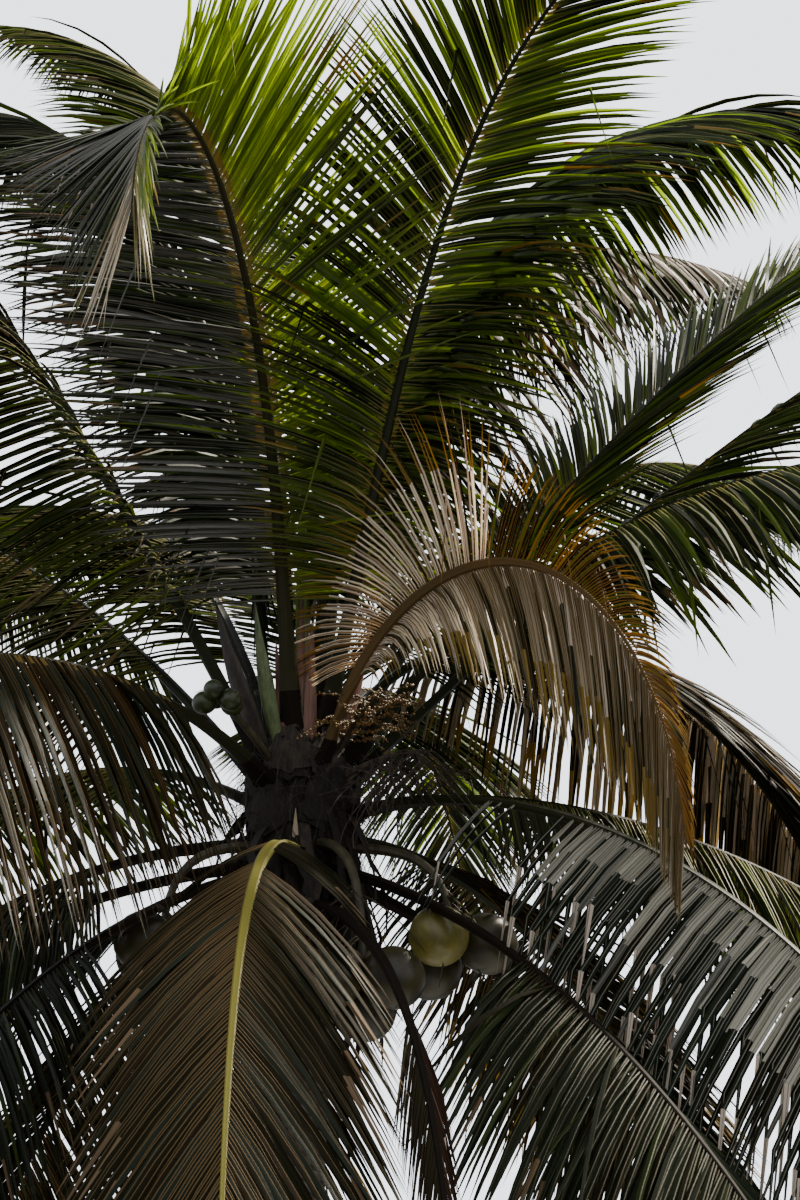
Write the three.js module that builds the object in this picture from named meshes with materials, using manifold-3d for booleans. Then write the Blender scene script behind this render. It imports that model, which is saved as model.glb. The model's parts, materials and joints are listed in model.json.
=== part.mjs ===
// A whole coconut palm, rooted in level ground: a leaning stem with a flared foot and a head of leaf
// bases, a crown of feather fronds, a closed spear leaf, nut bunches, flower sprays and spathes.
// Millimetres, +Z up. The origin is the middle of the flat cut under the stem, at ground level.
import * as THREE from "three";
import { mergeVertices } from "three/addons/utils/BufferGeometryUtils.js";
import Module from "manifold-3d";

const wasm = await Module();
wasm.setup();

// Driving dimensions of the stem
const HEART_HEIGHT = 6200;
const LEAN = new THREE.Vector2(450, 150);
const STEM_SIDES = 14;
const STEM_FOOT_RADIUS = 300;
const STEM_LOW_RADIUS = 155;
const STEM_TOP_RADIUS = 125;
const FLARE_HEIGHT = 250;
const STEM_LENGTH = 5600;
const STEM_RINGS = 20;
const RING_CROWDING = 1.6;

// The head of leaf bases: height above the heart and radius, from the neck of the stem to its top
const HEAD_PROFILE = [
  [-480, 142],
  [-340, 172],
  [-180, 190],
  [0, 186],
  [100, 176],
  [180, 144],
  [240, 100],
  [270, 60],
];

// Driving dimensions of a frond
const RIB_FOOT_WIDTH = 67;
const RIB_TIP_WIDTH = 9;
const RIB_TAPER = 1.5;
const RIB_HEIGHT_SHARE = 0.7;
const LEAFLET_LENGTH = 950;
const TIP_LEAFLET_SHARE = 0.28;
const BLADE_START = 0.15;
const BLADE_END = 0.985;
const PETIOLE_STEPS = 3;
const FIRST_PETIOLE_SHARE = 0.4;
const END_LEAFLET_WIDTHS = 6;
const PATH_STEPS = 80;
const SWAY_POWER = 1.5;
const ROLL_REACHED = 0.15;
const SPLIT_TURN = 84;
const TEETH_A_SIDE = 16;
const ROOT_INSIDE_HEAD = 140;

// Clearances: a seat between touching pieces, and the least gap round a leaflet
const SEAT_GAP = 0.3;
const LEAFLET_CLEARANCE = 6;
const LENGTHS_TRIED = [1, 0.8, 0.6, 0.4];

// Fronds: azimuth from +X, climb at the foot and at the tip, sideways sway, bend, length, roll,
// height of the foot above the heart, and the leaflets' lift out of the frond's plane and sag.
// Angles are in degrees, and the bend is the power that says where along the rib the climb is lost.
// Some rows have up to three more numbers: shares that close the leaflets towards the rib and shorten
// those on its left side, and how long the last leaflets are beside the longest ones.
// The first rows are the youngest fronds, whose feet stand high and near the middle of the head, and
// the last rows are the oldest ones, which hang below it.
const FRONDS = [
  ["top_right", 8, 88, -24, 5, 1.6, 4500, 0, 234, -25, 0.8],
  ["high_back_right", 61, 85, -17, -40, 1.5, 4400, 10, 217, -30, 1],
  ["top_back", 114, 84, 14, 50, 2.5, 4400, 0, 201, -10, 0.8],
  ["high_left_back", 168, 84, -25, -22, 2.4, 4300, -10, 179, -20, 0.9],
  ["high_front", 259, 72, -95, -2, 2.25, 3500, 35, 146, 10, 0.2, 1, 1, 0.7],
  ["high_right", 312, 73, -68, 2, 3.6, 4100, 0, 150, 5, 0.35],
  ["right_fall", 34, 70, -85, 1, 0.8, 3700, 0, 140, -20, 0.8, 0.9],
  ["arch_front", 303, 82, -87, 3, 0.7, 3000, 105, -10, 0, 0.6, 1, 0.5],
  ["left", 203, 60, 20, 0, 1.7, 4300, 20, 80, -45, 0.5],
  ["back", 118, 60, -25, 0, 1.4, 4300, 0, 80, 0, 0.6],
  ["arch_back_right", 46, 58, -23, 0, 1.7, 4300, 20, 69, -20, 0.8],
  ["right_back", 23, 55, 36, 0, 1.6, 4400, 20, 52, 10, 0.25],
  ["right_front", 338, 54, -41, 0, 0.9, 4300, 20, 47, -20, 0.5],
  ["left_back", 156, 51, -23, 0, 1.4, 4300, -10, 30, -20, 0.7],
  ["back_right", 79, 48, -45, 0, 1.1, 4200, 10, 14, -15, 0.7],
  ["right", 0, 46, 22, 0, 1.5, 4400, 20, 3, -5, 0.4],
  ["left_front", 233, 38, -52, 0, 0.55, 4200, -15, -41, -35, 0.9],
  ["back_left", 137, 34, -55, 0, 0.9, 4200, -10, -63, -15, 0.7],
  ["low_right", 12, 27, -60, 0, 0.6, 4300, 15, -101, -25, 0.8],
  ["low_right_front", 332, 20, -84, 0, 0.6, 4200, 25, -140, -30, 0.9, 1.25],
  ["low_back_right", 54, 16, -72, 0, 0.8, 4200, 0, -162, -20, 0.8],
  ["low_back", 98, 10, -76, 0, 0.8, 4100, 0, -195, -25, 0.9, 0.85],
  ["low_left_back", 170, 7, -86, 0, 0.75, 4100, 0, -211, -30, 0.9, 0.85],
  ["low_back_left", 128, -4, -80, 0, 0.8, 4100, 0, -272, -25, 0.9, 0.8],
  ["hang_front", 266, -7, -78, 9, 1.05, 4000, 0, -288, -12, 0.6, 0.5],
  ["low_left", 193, -9, -84, 0, 0.95, 4100, 0, -299, -30, 0.9, 0.8],
  ["hang_back_right", 33, -12, -80, 0, 0.9, 4000, 0, -316, -25, 0.8, 0.75],
  ["hang_right_front", 316, -15, -70, 0, 0.7, 4000, 0, -332, -20, 0.7, 0.75],
  ["hang_left", 228, -17, -80, 0, 0.9, 4000, 0, -343, -20, 0.8, 0.75],
].map(frondFromRow);

// The dead frond, whose leaflets have folded along its rib
const DEAD_FROND = {
  ...frondFromRow(["dead", 287, -17, -92, -12, 1.35, 3300, 0, -463, -45, 1.1, 0.35]),
  leafletShare: 0.4,
  teeth: 9,
};

// The reach of a frond's foot from the middle of the head, which closes in above its shoulder
const FOOT_REACH = 160;
const TOP_FOOT_REACH = 84;
const SHOULDER_HEIGHT = 30;
const TOP_FOOT_HEIGHT = 240;
const CLOSING_POWER = 1.5;

// How the leaflets stand: their angle from the rib and their length change along the blade
const ANGLE_AT_FOOT = 88;
const ANGLE_AT_TIP = 20;
const SAG_STEPS = 4;
const LONGEST_AT = 0.35;
const FOOT_LEAFLET_SHARE = 0.5;
const SHORTENING_POWER = 1.6;

// Nut bunches: azimuth, reach and drop of the bunch's middle from the heart, nuts, nut radius
const BUNCHES = [
  ["bunch_left", 213, 560, 690, 3, 102],
  ["bunch_right", 336, 610, 660, 3, 104],
  ["bunch_front", 297, 540, 850, 3, 104],
  ["bunch_back", 110, 560, 730, 4, 102],
  ["bunch_back_right", 65, 520, 640, 3, 98],
];
const NUT_STRETCH = 1.14;
const NUT_SIDES = 8;
const NUT_BANDS = 5;
const NUT_SPACING = 1.08;
const NUT_STAGGER = 0.35;
const NUT_TILT = 0.9;
const FIRST_NUT_TURN = 30;
const STALK_ROOT_REACH = 60;
const BUNCH_STALK_RADIUS = 20;
const BUNCH_STALK_THINNING = 0.7;
const BUNCH_ROOT_DROP = 230;
const BUNCH_CREST_DROP = 260;
const BUNCH_CREST_REACH = 0.7;
const BUNCH_TURN_DROP = 0.45;

// Flower sprays: azimuth, reach and rise of the spray's middle, twigs, twig length, twig tilt down
const SPRAYS = [
  ["flowers_front", 319, 400, 290, 14, 230, 0.2],
  ["flowers_back", 63, 420, 240, 12, 240, 0.2],
  ["spent_flowers", 326, 540, 60, 12, 300, 1.1],
];
const SPRAY_STALK_RADIUS = 16;
const SPRAY_STALK_THINNING = 0.5;
const SPRAY_ROOT_DROP = 40;
const SPRAY_BEND_REACH = 0.55;
const SPRAY_BEND_RISE = 0.4;
const SPRAY_CREST = 60;
const TWIG_RADIUS = 9;
const TWIG_TURN = 2.4;
const TWIG_FORWARD = 0.5;
const FIRST_TWIG = 0.55;
const LAST_TWIG = 0.98;

// Spathes and sheaths: azimuth, reach and rise of the tip, half width
const SPATHES = [
  ["spathe_green", 240, 330, 640, 34],
  ["spathe_brown", 224, 430, 640, 44],
  ["spathe_red", 344, 270, 650, 40],
];
const SPATHE_FLATNESS = 0.5;
const SPATHE_SIDES = 6;
const SPATHE_ROOT_REACH = 90;
const SPATHE_BULGE = 0.72;
const SPATHE_PROFILE = [0.5, 0.62, 0.95, 1, 0.62];
const SPATHE_STEP = 0.182;

// The closed spear leaf in the middle of the crown
const SPEAR_LENGTH = 1500;
const SPEAR_RADIUS = 26;
const SPEAR_SIDES = 6;
const SPEAR_PROFILE = [
  [0, 0.8],
  [0.3, 1],
  [0.7, 0.7],
];

const COLOURS = {
  bark: 0x6f6658,
  young: 0x6f8f2a,
  leaf: 0x4c6127,
  old: 0x5a5432,
  dead: 0x6b4a2c,
  nut: 0x7d7a2c,
  flower: 0xa8742c,
  spent: 0x5a4028,
  green: 0x6d8742,
  brown: 0x3a2a1e,
  red: 0x6e3f2c,
};
const ROUGHNESS = 0.7;
const YOUNG_CLIMB = 65;

const palm = new THREE.Group();
palm.name = "coconut_palm";

const UP = new THREE.Vector3(0, 0, 1);
const HEART = new THREE.Vector3(LEAN.x, LEAN.y, HEART_HEIGHT);
const radians = THREE.MathUtils.degToRad;
const mix = THREE.MathUtils.lerp;

function frondFromRow(row) {
  const [name, azimuth, rise, fall, sway, bend, length, roll, footHeight, lift, sag, ...shares] = row;
  const [spread = 1, leftShare = 1, tipShare = TIP_LEAFLET_SHARE] = shares;
  const rib = { name, azimuth, rise, fall, sway, bend, length, roll, footHeight };
  return { ...rib, lift, sag, spread, leftShare, tipShare, leafletShare: 1, teeth: TEETH_A_SIDE };
}

// Solids and meshes

function solidFrom(points, triangles) {
  const vertProperties = new Float32Array(points.flatMap((p) => [p.x, p.y, p.z]));
  const triVerts = new Uint32Array(triangles.flat());
  return new wasm.Manifold(new wasm.Mesh({ numProp: 3, vertProperties, triVerts }));
}

function solidFromGeometry(geometry) {
  const bare = geometry.clone();
  bare.deleteAttribute("normal");
  bare.deleteAttribute("uv");
  const merged = mergeVertices(bare, 1e-3);
  return new wasm.Manifold(
    new wasm.Mesh({
      numProp: 3,
      vertProperties: new Float32Array(merged.attributes.position.array),
      triVerts: new Uint32Array(merged.index.array),
    }),
  );
}

function addPiece(name, solid, colour) {
  const mesh = solid.getMesh();
  const geometry = new THREE.BufferGeometry();
  geometry.setAttribute("position", new THREE.BufferAttribute(mesh.vertProperties, 3));
  geometry.setIndex(new THREE.BufferAttribute(mesh.triVerts, 1));
  geometry.computeVertexNormals();
  const material = new THREE.MeshStandardMaterial({ color: colour, roughness: ROUGHNESS, metalness: 0 });
  const piece = new THREE.Mesh(geometry, material);
  piece.name = name;
  palm.add(piece);
}

// A closed body through rings of points, each ring with the same count, anticlockwise seen from its
// far end. The last ring may narrow to a point.
function loft(rings, tip) {
  const points = rings.flat();
  const count = rings[0].length;
  const triangles = [];
  for (let ring = 0; ring + 1 < rings.length; ring += 1) {
    for (let i = 0; i < count; i += 1) {
      const a = ring * count + i;
      const b = ring * count + ((i + 1) % count);
      triangles.push([a, b, b + count], [a, b + count, a + count]);
    }
  }
  const last = (rings.length - 1) * count;
  for (let i = 1; i + 1 < count; i += 1) {
    triangles.push([0, i + 1, i]);
    if (!tip) triangles.push([last, last + i, last + i + 1]);
  }
  if (tip) {
    points.push(tip);
    for (let i = 0; i < count; i += 1) {
      triangles.push([last + i, last + ((i + 1) % count), points.length - 1]);
    }
  }
  return solidFrom(points, triangles);
}

function ringAround(centre, along, width, height, sides) {
  const across = new THREE.Vector3().crossVectors(UP, along);
  if (across.length() < 0.05) across.set(1, 0, 0);
  across.normalize();
  const over = new THREE.Vector3().crossVectors(along, across);
  return Array.from({ length: sides }, (_, i) => {
    const turn = (2 * Math.PI * i) / sides;
    return centre
      .clone()
      .addScaledVector(across, width * Math.cos(turn))
      .addScaledVector(over, height * Math.sin(turn));
  });
}

// A tapered stalk along a three.js curve
function stalkSolid(curve, steps, footRadius, tipRadius, sides) {
  const rings = [];
  for (let i = 0; i <= steps; i += 1) {
    const radius = mix(footRadius, tipRadius, i / steps);
    rings.push(ringAround(curve.getPoint(i / steps), curve.getTangent(i / steps), radius, radius, sides));
  }
  return loft(rings);
}

// Stem and head

function stemCentre(z) {
  const share = Math.min(z / HEART_HEIGHT, 1);
  const lean = 1 - (1 - share) ** 2;
  return new THREE.Vector3(LEAN.x * lean, LEAN.y * lean, z);
}

function stemRadius(z) {
  const taper = mix(STEM_LOW_RADIUS, STEM_TOP_RADIUS, z / STEM_LENGTH);
  return taper + (STEM_FOOT_RADIUS - STEM_LOW_RADIUS) * Math.exp(-z / FLARE_HEIGHT);
}

function stemRing(z, radius) {
  const centre = stemCentre(z);
  return Array.from({ length: STEM_SIDES }, (_, i) => {
    const turn = (2 * Math.PI * i) / STEM_SIDES;
    return new THREE.Vector3(centre.x + radius * Math.cos(turn), centre.y + radius * Math.sin(turn), z);
  });
}

// The stem with its head in one body, grown by a seat gap where it cuts what it carries
function stemSolid(grown) {
  const rings = [];
  for (let i = 0; i <= STEM_RINGS; i += 1) {
    // The rings crowd towards the foot, where the flare bends most
    const z = STEM_LENGTH * (i / STEM_RINGS) ** RING_CROWDING;
    rings.push(stemRing(z, stemRadius(z) + grown));
  }
  HEAD_PROFILE.forEach(([rise, radius]) => {
    rings.push(stemRing(HEART_HEIGHT + rise + grown, radius + grown));
  });
  return loft(rings);
}

const seatCutter = stemSolid(SEAT_GAP);

// Fronds

function footReach(frond) {
  const over = Math.max(0, frond.footHeight - SHOULDER_HEIGHT) / (TOP_FOOT_HEIGHT - SHOULDER_HEIGHT);
  return mix(FOOT_REACH, TOP_FOOT_REACH, over ** CLOSING_POWER);
}

function ribFrame(frond, s) {
  const share = THREE.MathUtils.clamp(s, 0, 1);
  const climb = radians(mix(frond.rise, frond.fall, share ** frond.bend));
  const heading = radians(frond.azimuth + frond.sway * share ** SWAY_POWER);
  const roll = radians(frond.roll * Math.min(1, share / ROLL_REACHED));
  const flatSide = new THREE.Vector3(-Math.sin(heading), Math.cos(heading), 0);
  const flatUp = new THREE.Vector3(
    -Math.sin(climb) * Math.cos(heading),
    -Math.sin(climb) * Math.sin(heading),
    Math.cos(climb),
  );
  const along = new THREE.Vector3(
    Math.cos(climb) * Math.cos(heading),
    Math.cos(climb) * Math.sin(heading),
    Math.sin(climb),
  );
  const side = flatSide.clone().multiplyScalar(Math.cos(roll)).addScaledVector(flatUp, Math.sin(roll));
  const up = flatUp.clone().multiplyScalar(Math.cos(roll)).addScaledVector(flatSide, -Math.sin(roll));
  return { along, side, up };
}

function ribPath(frond) {
  const points = [place(frond.azimuth, footReach(frond), frond.footHeight)];
  for (let i = 0; i < PATH_STEPS; i += 1) {
    const { along } = ribFrame(frond, (i + 0.5) / PATH_STEPS);
    points.push(points[i].clone().addScaledVector(along, frond.length / PATH_STEPS));
  }
  return points;
}

function ribPoint(frond, s) {
  const step = THREE.MathUtils.clamp(s, 0, 1) * PATH_STEPS;
  const index = Math.min(Math.floor(step), PATH_STEPS - 1);
  const point = frond.path[index].clone().lerp(frond.path[index + 1], step - index);
  const beyond = (s - THREE.MathUtils.clamp(s, 0, 1)) * frond.length;
  return point.addScaledVector(ribFrame(frond, s).along, beyond);
}

function ribWidth(s) {
  const share = THREE.MathUtils.clamp(s, 0, 1);
  return RIB_FOOT_WIDTH * (1 - share) ** RIB_TAPER + RIB_TIP_WIDTH * share;
}

// Upper left, upper right, lower right and lower left corners of the rib
function ribSection(frond, s) {
  const { side, up } = ribFrame(frond, s);
  const half = ribWidth(s) / 2;
  const centre = ribPoint(frond, s);
  return [
    [1, 1],
    [-1, 1],
    [-1, -1],
    [1, -1],
  ].map(([left, top]) =>
    centre
      .clone()
      .addScaledVector(side, left * half)
      .addScaledVector(up, top * half * RIB_HEIGHT_SHARE),
  );
}

function leafletLength(frond, blade) {
  const rising = Math.sin((Math.PI / 2) * Math.min(1, blade / LONGEST_AT));
  const past = Math.max(0, (blade - LONGEST_AT) / (1 - LONGEST_AT));
  const share = mix(FOOT_LEAFLET_SHARE, 1, rising) - (1 - frond.tipShare) * past ** SHORTENING_POWER;
  return LEAFLET_LENGTH * frond.leafletShare * share;
}

// The way from a leaflet's root to its tip: it leaves the rib at an angle and sags with its weight
function leafletReach(frond, s, side) {
  const blade = (s - BLADE_START) / (1 - BLADE_START);
  const frame = ribFrame(frond, s);
  const angle = radians(mix(ANGLE_AT_FOOT, ANGLE_AT_TIP, blade) * frond.spread);
  const lift = radians(frond.lift);
  const sideShare = side > 0 ? frond.leftShare : 1;
  const first = frame.along
    .clone()
    .multiplyScalar(Math.cos(angle))
    .addScaledVector(frame.side, side * Math.sin(angle) * Math.cos(lift))
    .addScaledVector(frame.up, Math.sin(angle) * Math.sin(lift));
  const reach = new THREE.Vector3();
  for (let i = 0; i < SAG_STEPS; i += 1) {
    const share = (i + 0.5) / SAG_STEPS;
    reach.add(first.clone().addScaledVector(UP, -frond.sag * share).normalize());
  }
  return reach.multiplyScalar((leafletLength(frond, blade) * sideShare) / SAG_STEPS);
}

function bladeStations(frond) {
  const intervals = 2 * frond.teeth;
  return Array.from({ length: intervals + 1 }, (_, i) => mix(BLADE_START, BLADE_END, i / intervals));
}

// The four corners of one side of the rib between two stations, in outward order
function sideQuad(from, to, side) {
  return side > 0 ? [from[3], from[0], to[0], to[3]] : [from[1], from[2], to[2], to[1]];
}

function toothSolid(quad, tip) {
  return solidFrom(
    [...quad, tip],
    [
      [0, 1, 4],
      [1, 2, 4],
      [2, 3, 4],
      [3, 0, 4],
      [0, 2, 1],
      [0, 3, 2],
    ],
  );
}

// Everything that a leaflet has to keep clear of
const obstacles = [];

function addObstacle(solid, frond, interval) {
  obstacles.push({ solid, box: solid.boundingBox(), frond, interval });
}

function boxesApart(a, b, gap) {
  return [0, 1, 2].some((k) => a.min[k] > b.max[k] + gap || b.min[k] > a.max[k] + gap);
}

function isClear(solid, frond, interval) {
  const box = solid.boundingBox();
  return obstacles.every((other) => {
    if (other.frond === frond && Math.abs(other.interval - interval) <= 1) return true;
    if (boxesApart(box, other.box, LEAFLET_CLEARANCE)) return true;
    return solid.minGap(other.solid, LEAFLET_CLEARANCE) >= LEAFLET_CLEARANCE;
  });
}

// Leaflets stand on every second interval of the blade, on both sides of the rib
function growTeeth(frond) {
  const stations = frond.stations;
  frond.tips = stations.slice(1).map(() => ({}));
  for (let i = 0; i + 1 < stations.length; i += 2) {
    const middle = (stations[i] + stations[i + 1]) / 2;
    for (const side of [1, -1]) {
      const quad = sideQuad(frond.sections[i], frond.sections[i + 1], side);
      const root = ribPoint(frond, middle);
      for (const share of LENGTHS_TRIED) {
        const tip = root.clone().addScaledVector(leafletReach(frond, middle, side), share);
        const solid = toothSolid(quad, tip);
        if (isClear(solid, frond, i)) {
          addObstacle(solid, frond, i);
          frond.tips[i][side] = tip;
          break;
        }
      }
    }
  }
}

// A length of frond between two stations of the rib, with the leaflets that stand on it
function frondLength(frond, sections, tips, endTip) {
  const points = sections.flat();
  const triangles = [];
  const quad = (a, b, c, d) => triangles.push([a, b, c], [a, c, d]);
  const spike = (a, b, c, d, tip) => {
    points.push(tip);
    const p = points.length - 1;
    triangles.push([a, b, p], [b, c, p], [c, d, p], [d, a, p]);
  };
  quad(0, 3, 2, 1);
  for (let i = 0; i + 1 < sections.length; i += 1) {
    const a = 4 * i;
    const b = a + 4;
    quad(a, a + 1, b + 1, b);
    quad(a + 2, a + 3, b + 3, b + 2);
    const left = [a + 3, a, b, b + 3];
    const right = [a + 1, a + 2, b + 2, b + 1];
    if (tips[i]?.[1]) spike(...left, tips[i][1]);
    else quad(...left);
    if (tips[i]?.[-1]) spike(...right, tips[i][-1]);
    else quad(...right);
  }
  const last = 4 * (sections.length - 1);
  if (endTip) spike(last + 1, last + 2, last + 3, last, endTip);
  else quad(last + 1, last + 2, last + 3, last);
  return solidFrom(points, triangles);
}

// The interval where the rib has turned halfway, rounded to one that carries no leaflet
function splitInterval(frond) {
  if (Math.abs(frond.rise - frond.fall) < SPLIT_TURN) return -1;
  const halfway = 0.5 ** (1 / frond.bend);
  const blade = (halfway - BLADE_START) / (BLADE_END - BLADE_START);
  const pair = THREE.MathUtils.clamp(Math.floor(blade * frond.teeth), 1, frond.teeth - 2);
  return 2 * pair + 1;
}

function prepareFrond(frond) {
  frond.path = ribPath(frond);
  frond.stations = bladeStations(frond);
  frond.sections = frond.stations.map((s) => ribSection(frond, s));
  frond.petiole = [ribSection(frond, -ROOT_INSIDE_HEAD / frond.length)];
  for (let i = 0; i < PETIOLE_STEPS; i += 1) {
    frond.petiole.push(ribSection(frond, (BLADE_START * (i + FIRST_PETIOLE_SHARE)) / PETIOLE_STEPS));
  }
  const bare = frondLength(frond, frond.petiole.concat([frond.sections[0]]), [], null);
  addObstacle(bare.subtract(seatCutter), frond, -1);
  for (let i = 0; i + 1 < frond.sections.length; i += 1) {
    addObstacle(frondLength(frond, frond.sections.slice(i, i + 2), [], null), frond, i);
  }
}

function addFrond(frond, colour) {
  const endLength = ribWidth(1) * END_LEAFLET_WIDTHS;
  const endTip = ribPoint(frond, 1).addScaledVector(ribFrame(frond, 1).along, endLength);
  const split = splitInterval(frond);
  const noTips = frond.petiole.map(() => ({}));
  if (split < 0) {
    const sections = frond.petiole.concat(frond.sections);
    const whole = frondLength(frond, sections, noTips.concat(frond.tips), endTip);
    addPiece(`frond_${frond.name}`, whole.subtract(seatCutter), colour);
    return;
  }
  const middle = (frond.stations[split] + frond.stations[split + 1]) / 2;
  const half = SEAT_GAP / 2 / frond.length;
  const footSections = frond.petiole.concat(frond.sections.slice(0, split + 1));
  footSections.push(ribSection(frond, middle - half));
  const foot = frondLength(frond, footSections, noTips.concat(frond.tips.slice(0, split)), null);
  addPiece(`frond_${frond.name}_foot`, foot.subtract(seatCutter), colour);
  const tipSections = [ribSection(frond, middle + half)].concat(frond.sections.slice(split + 1));
  const outer = frondLength(frond, tipSections, [{}].concat(frond.tips.slice(split + 1)), endTip);
  addPiece(`frond_${frond.name}_end`, outer, colour);
}

// Nuts, flowers, spathes and the spear leaf

// A point by azimuth, reach from the stem's axis and rise above the heart
function place(azimuth, reach, rise) {
  const turn = radians(azimuth);
  return new THREE.Vector3(reach * Math.cos(turn), reach * Math.sin(turn), rise).add(HEART);
}

function nutSolid(centre, outward, radius) {
  const nut = new THREE.SphereGeometry(radius, NUT_SIDES, NUT_BANDS);
  nut.scale(1, NUT_STRETCH, 1);
  nut.applyQuaternion(new THREE.Quaternion().setFromUnitVectors(new THREE.Vector3(0, 1, 0), outward));
  nut.translate(centre.x, centre.y, centre.z);
  return solidFromGeometry(nut);
}

function bunchSolid([, azimuth, reach, drop, count, radius]) {
  const curve = new THREE.CubicBezierCurve3(
    place(azimuth, STALK_ROOT_REACH, -BUNCH_ROOT_DROP),
    place(azimuth, reach * BUNCH_CREST_REACH, -BUNCH_CREST_DROP),
    place(azimuth, reach, -BUNCH_TURN_DROP * drop),
    place(azimuth, reach, -drop),
  );
  let bunch = stalkSolid(curve, 6, BUNCH_STALK_RADIUS, BUNCH_STALK_RADIUS * BUNCH_STALK_THINNING, 6);
  for (let i = 0; i < count; i += 1) {
    const turn = radians(azimuth + FIRST_NUT_TURN + (360 * i) / count);
    const round = new THREE.Vector3(Math.cos(turn), Math.sin(turn), 0);
    const outward = round.clone().addScaledVector(UP, -NUT_TILT).normalize();
    const centre = place(azimuth, reach, -drop).addScaledVector(round, radius * NUT_SPACING);
    centre.z += radius * (i % 2 ? -NUT_STAGGER : NUT_STAGGER);
    bunch = bunch.add(nutSolid(centre, outward, radius));
  }
  return bunch.subtract(seatCutter);
}

// A spray's twigs keep clear of the ribs: one that would touch is shortened or left out
function spraySolid([, azimuth, reach, rise, count, length, tilt]) {
  const curve = new THREE.QuadraticBezierCurve3(
    place(azimuth, STALK_ROOT_REACH, -SPRAY_ROOT_DROP),
    place(azimuth, reach * SPRAY_BEND_REACH, rise * SPRAY_BEND_RISE + SPRAY_CREST),
    place(azimuth, reach, rise),
  );
  let spray = stalkSolid(curve, 4, SPRAY_STALK_RADIUS, SPRAY_STALK_RADIUS * SPRAY_STALK_THINNING, 5);
  for (let i = 0; i < count; i += 1) {
    const share = mix(FIRST_TWIG, LAST_TWIG, i / (count - 1));
    const root = curve.getPoint(share);
    const turn = i * TWIG_TURN;
    const along = curve
      .getTangent(share)
      .multiplyScalar(TWIG_FORWARD)
      .add(new THREE.Vector3(Math.cos(turn), Math.sin(turn), -tilt))
      .normalize();
    const foot = ringAround(root, along, TWIG_RADIUS, TWIG_RADIUS, 3);
    const tipAt = (part) => root.clone().addScaledVector(along, length * part);
    const twig = LENGTHS_TRIED.map((part) => loft([foot], tipAt(part))).find((solid) =>
      isClear(solid, null, 0),
    );
    if (twig) spray = spray.add(twig);
  }
  return spray.subtract(seatCutter);
}

function spatheSolid([, azimuth, reach, rise, halfWidth]) {
  const curve = new THREE.QuadraticBezierCurve3(
    place(azimuth, SPATHE_ROOT_REACH, 0),
    place(azimuth, mix(SPATHE_ROOT_REACH, reach, SPATHE_BULGE), rise / 2),
    place(azimuth, reach, rise),
  );
  const rings = SPATHE_PROFILE.map((share, i) => {
    const t = i * SPATHE_STEP;
    const width = halfWidth * share;
    return ringAround(curve.getPoint(t), curve.getTangent(t), width, width * SPATHE_FLATNESS, SPATHE_SIDES);
  });
  return loft(rings, curve.getPoint(1)).subtract(seatCutter);
}

function spearSolid() {
  const foot = HEART.clone();
  foot.z += HEAD_PROFILE[HEAD_PROFILE.length - 1][0] + SEAT_GAP;
  const at = (share) => foot.clone().addScaledVector(UP, SPEAR_LENGTH * share);
  const rings = SPEAR_PROFILE.map(([share, width]) =>
    ringAround(at(share), UP, SPEAR_RADIUS * width, SPEAR_RADIUS * width, SPEAR_SIDES),
  );
  return loft(rings, at(1));
}

// The tree: each piece joins the ones that later twigs and leaflets keep clear of

function addFixed(name, solid, colour) {
  addPiece(name, solid, colour);
  addObstacle(solid, null, 0);
}

const allFronds = [...FRONDS, DEAD_FROND];
addFixed("stem", stemSolid(0), COLOURS.bark);
addFixed("spear_leaf", spearSolid(), COLOURS.young);
BUNCHES.forEach((row) => addFixed(row[0], bunchSolid(row), COLOURS.nut));
SPATHES.forEach((row) => addFixed(row[0], spatheSolid(row), COLOURS[row[0].split("_")[1]]));
allFronds.forEach(prepareFrond);
SPRAYS.forEach((row) => {
  addFixed(row[0], spraySolid(row), row[0].startsWith("spent") ? COLOURS.spent : COLOURS.flower);
});
allFronds.forEach(growTeeth);

function frondColour(frond) {
  if (frond === DEAD_FROND) return COLOURS.dead;
  if (frond.rise > YOUNG_CLIMB) return COLOURS.young;
  return frond.rise > 0 ? COLOURS.leaf : COLOURS.old;
}
allFronds.forEach((frond) => addFrond(frond, frondColour(frond)));

export default palm;
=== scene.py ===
# %% [markdown]
# # A coconut palm
# A coconut palm carries about thirty feather fronds on one stem. The young ones stand nearly upright
# and the old ones hang. This notebook takes the plain solids of the palm as a fixed frame and grows
# the real leaflets, bark, fruit and flowers on it, part by part.
#
# The frame comes first. All places are in metres, with +Z up and the origin at ground level. The
# heart of the crown is found from the spear leaf, which stands on top of the head.

# %% Load the frame
import json
import math
from types import SimpleNamespace

import bpy
import numpy as np
from mathutils import Matrix, Vector

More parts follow.
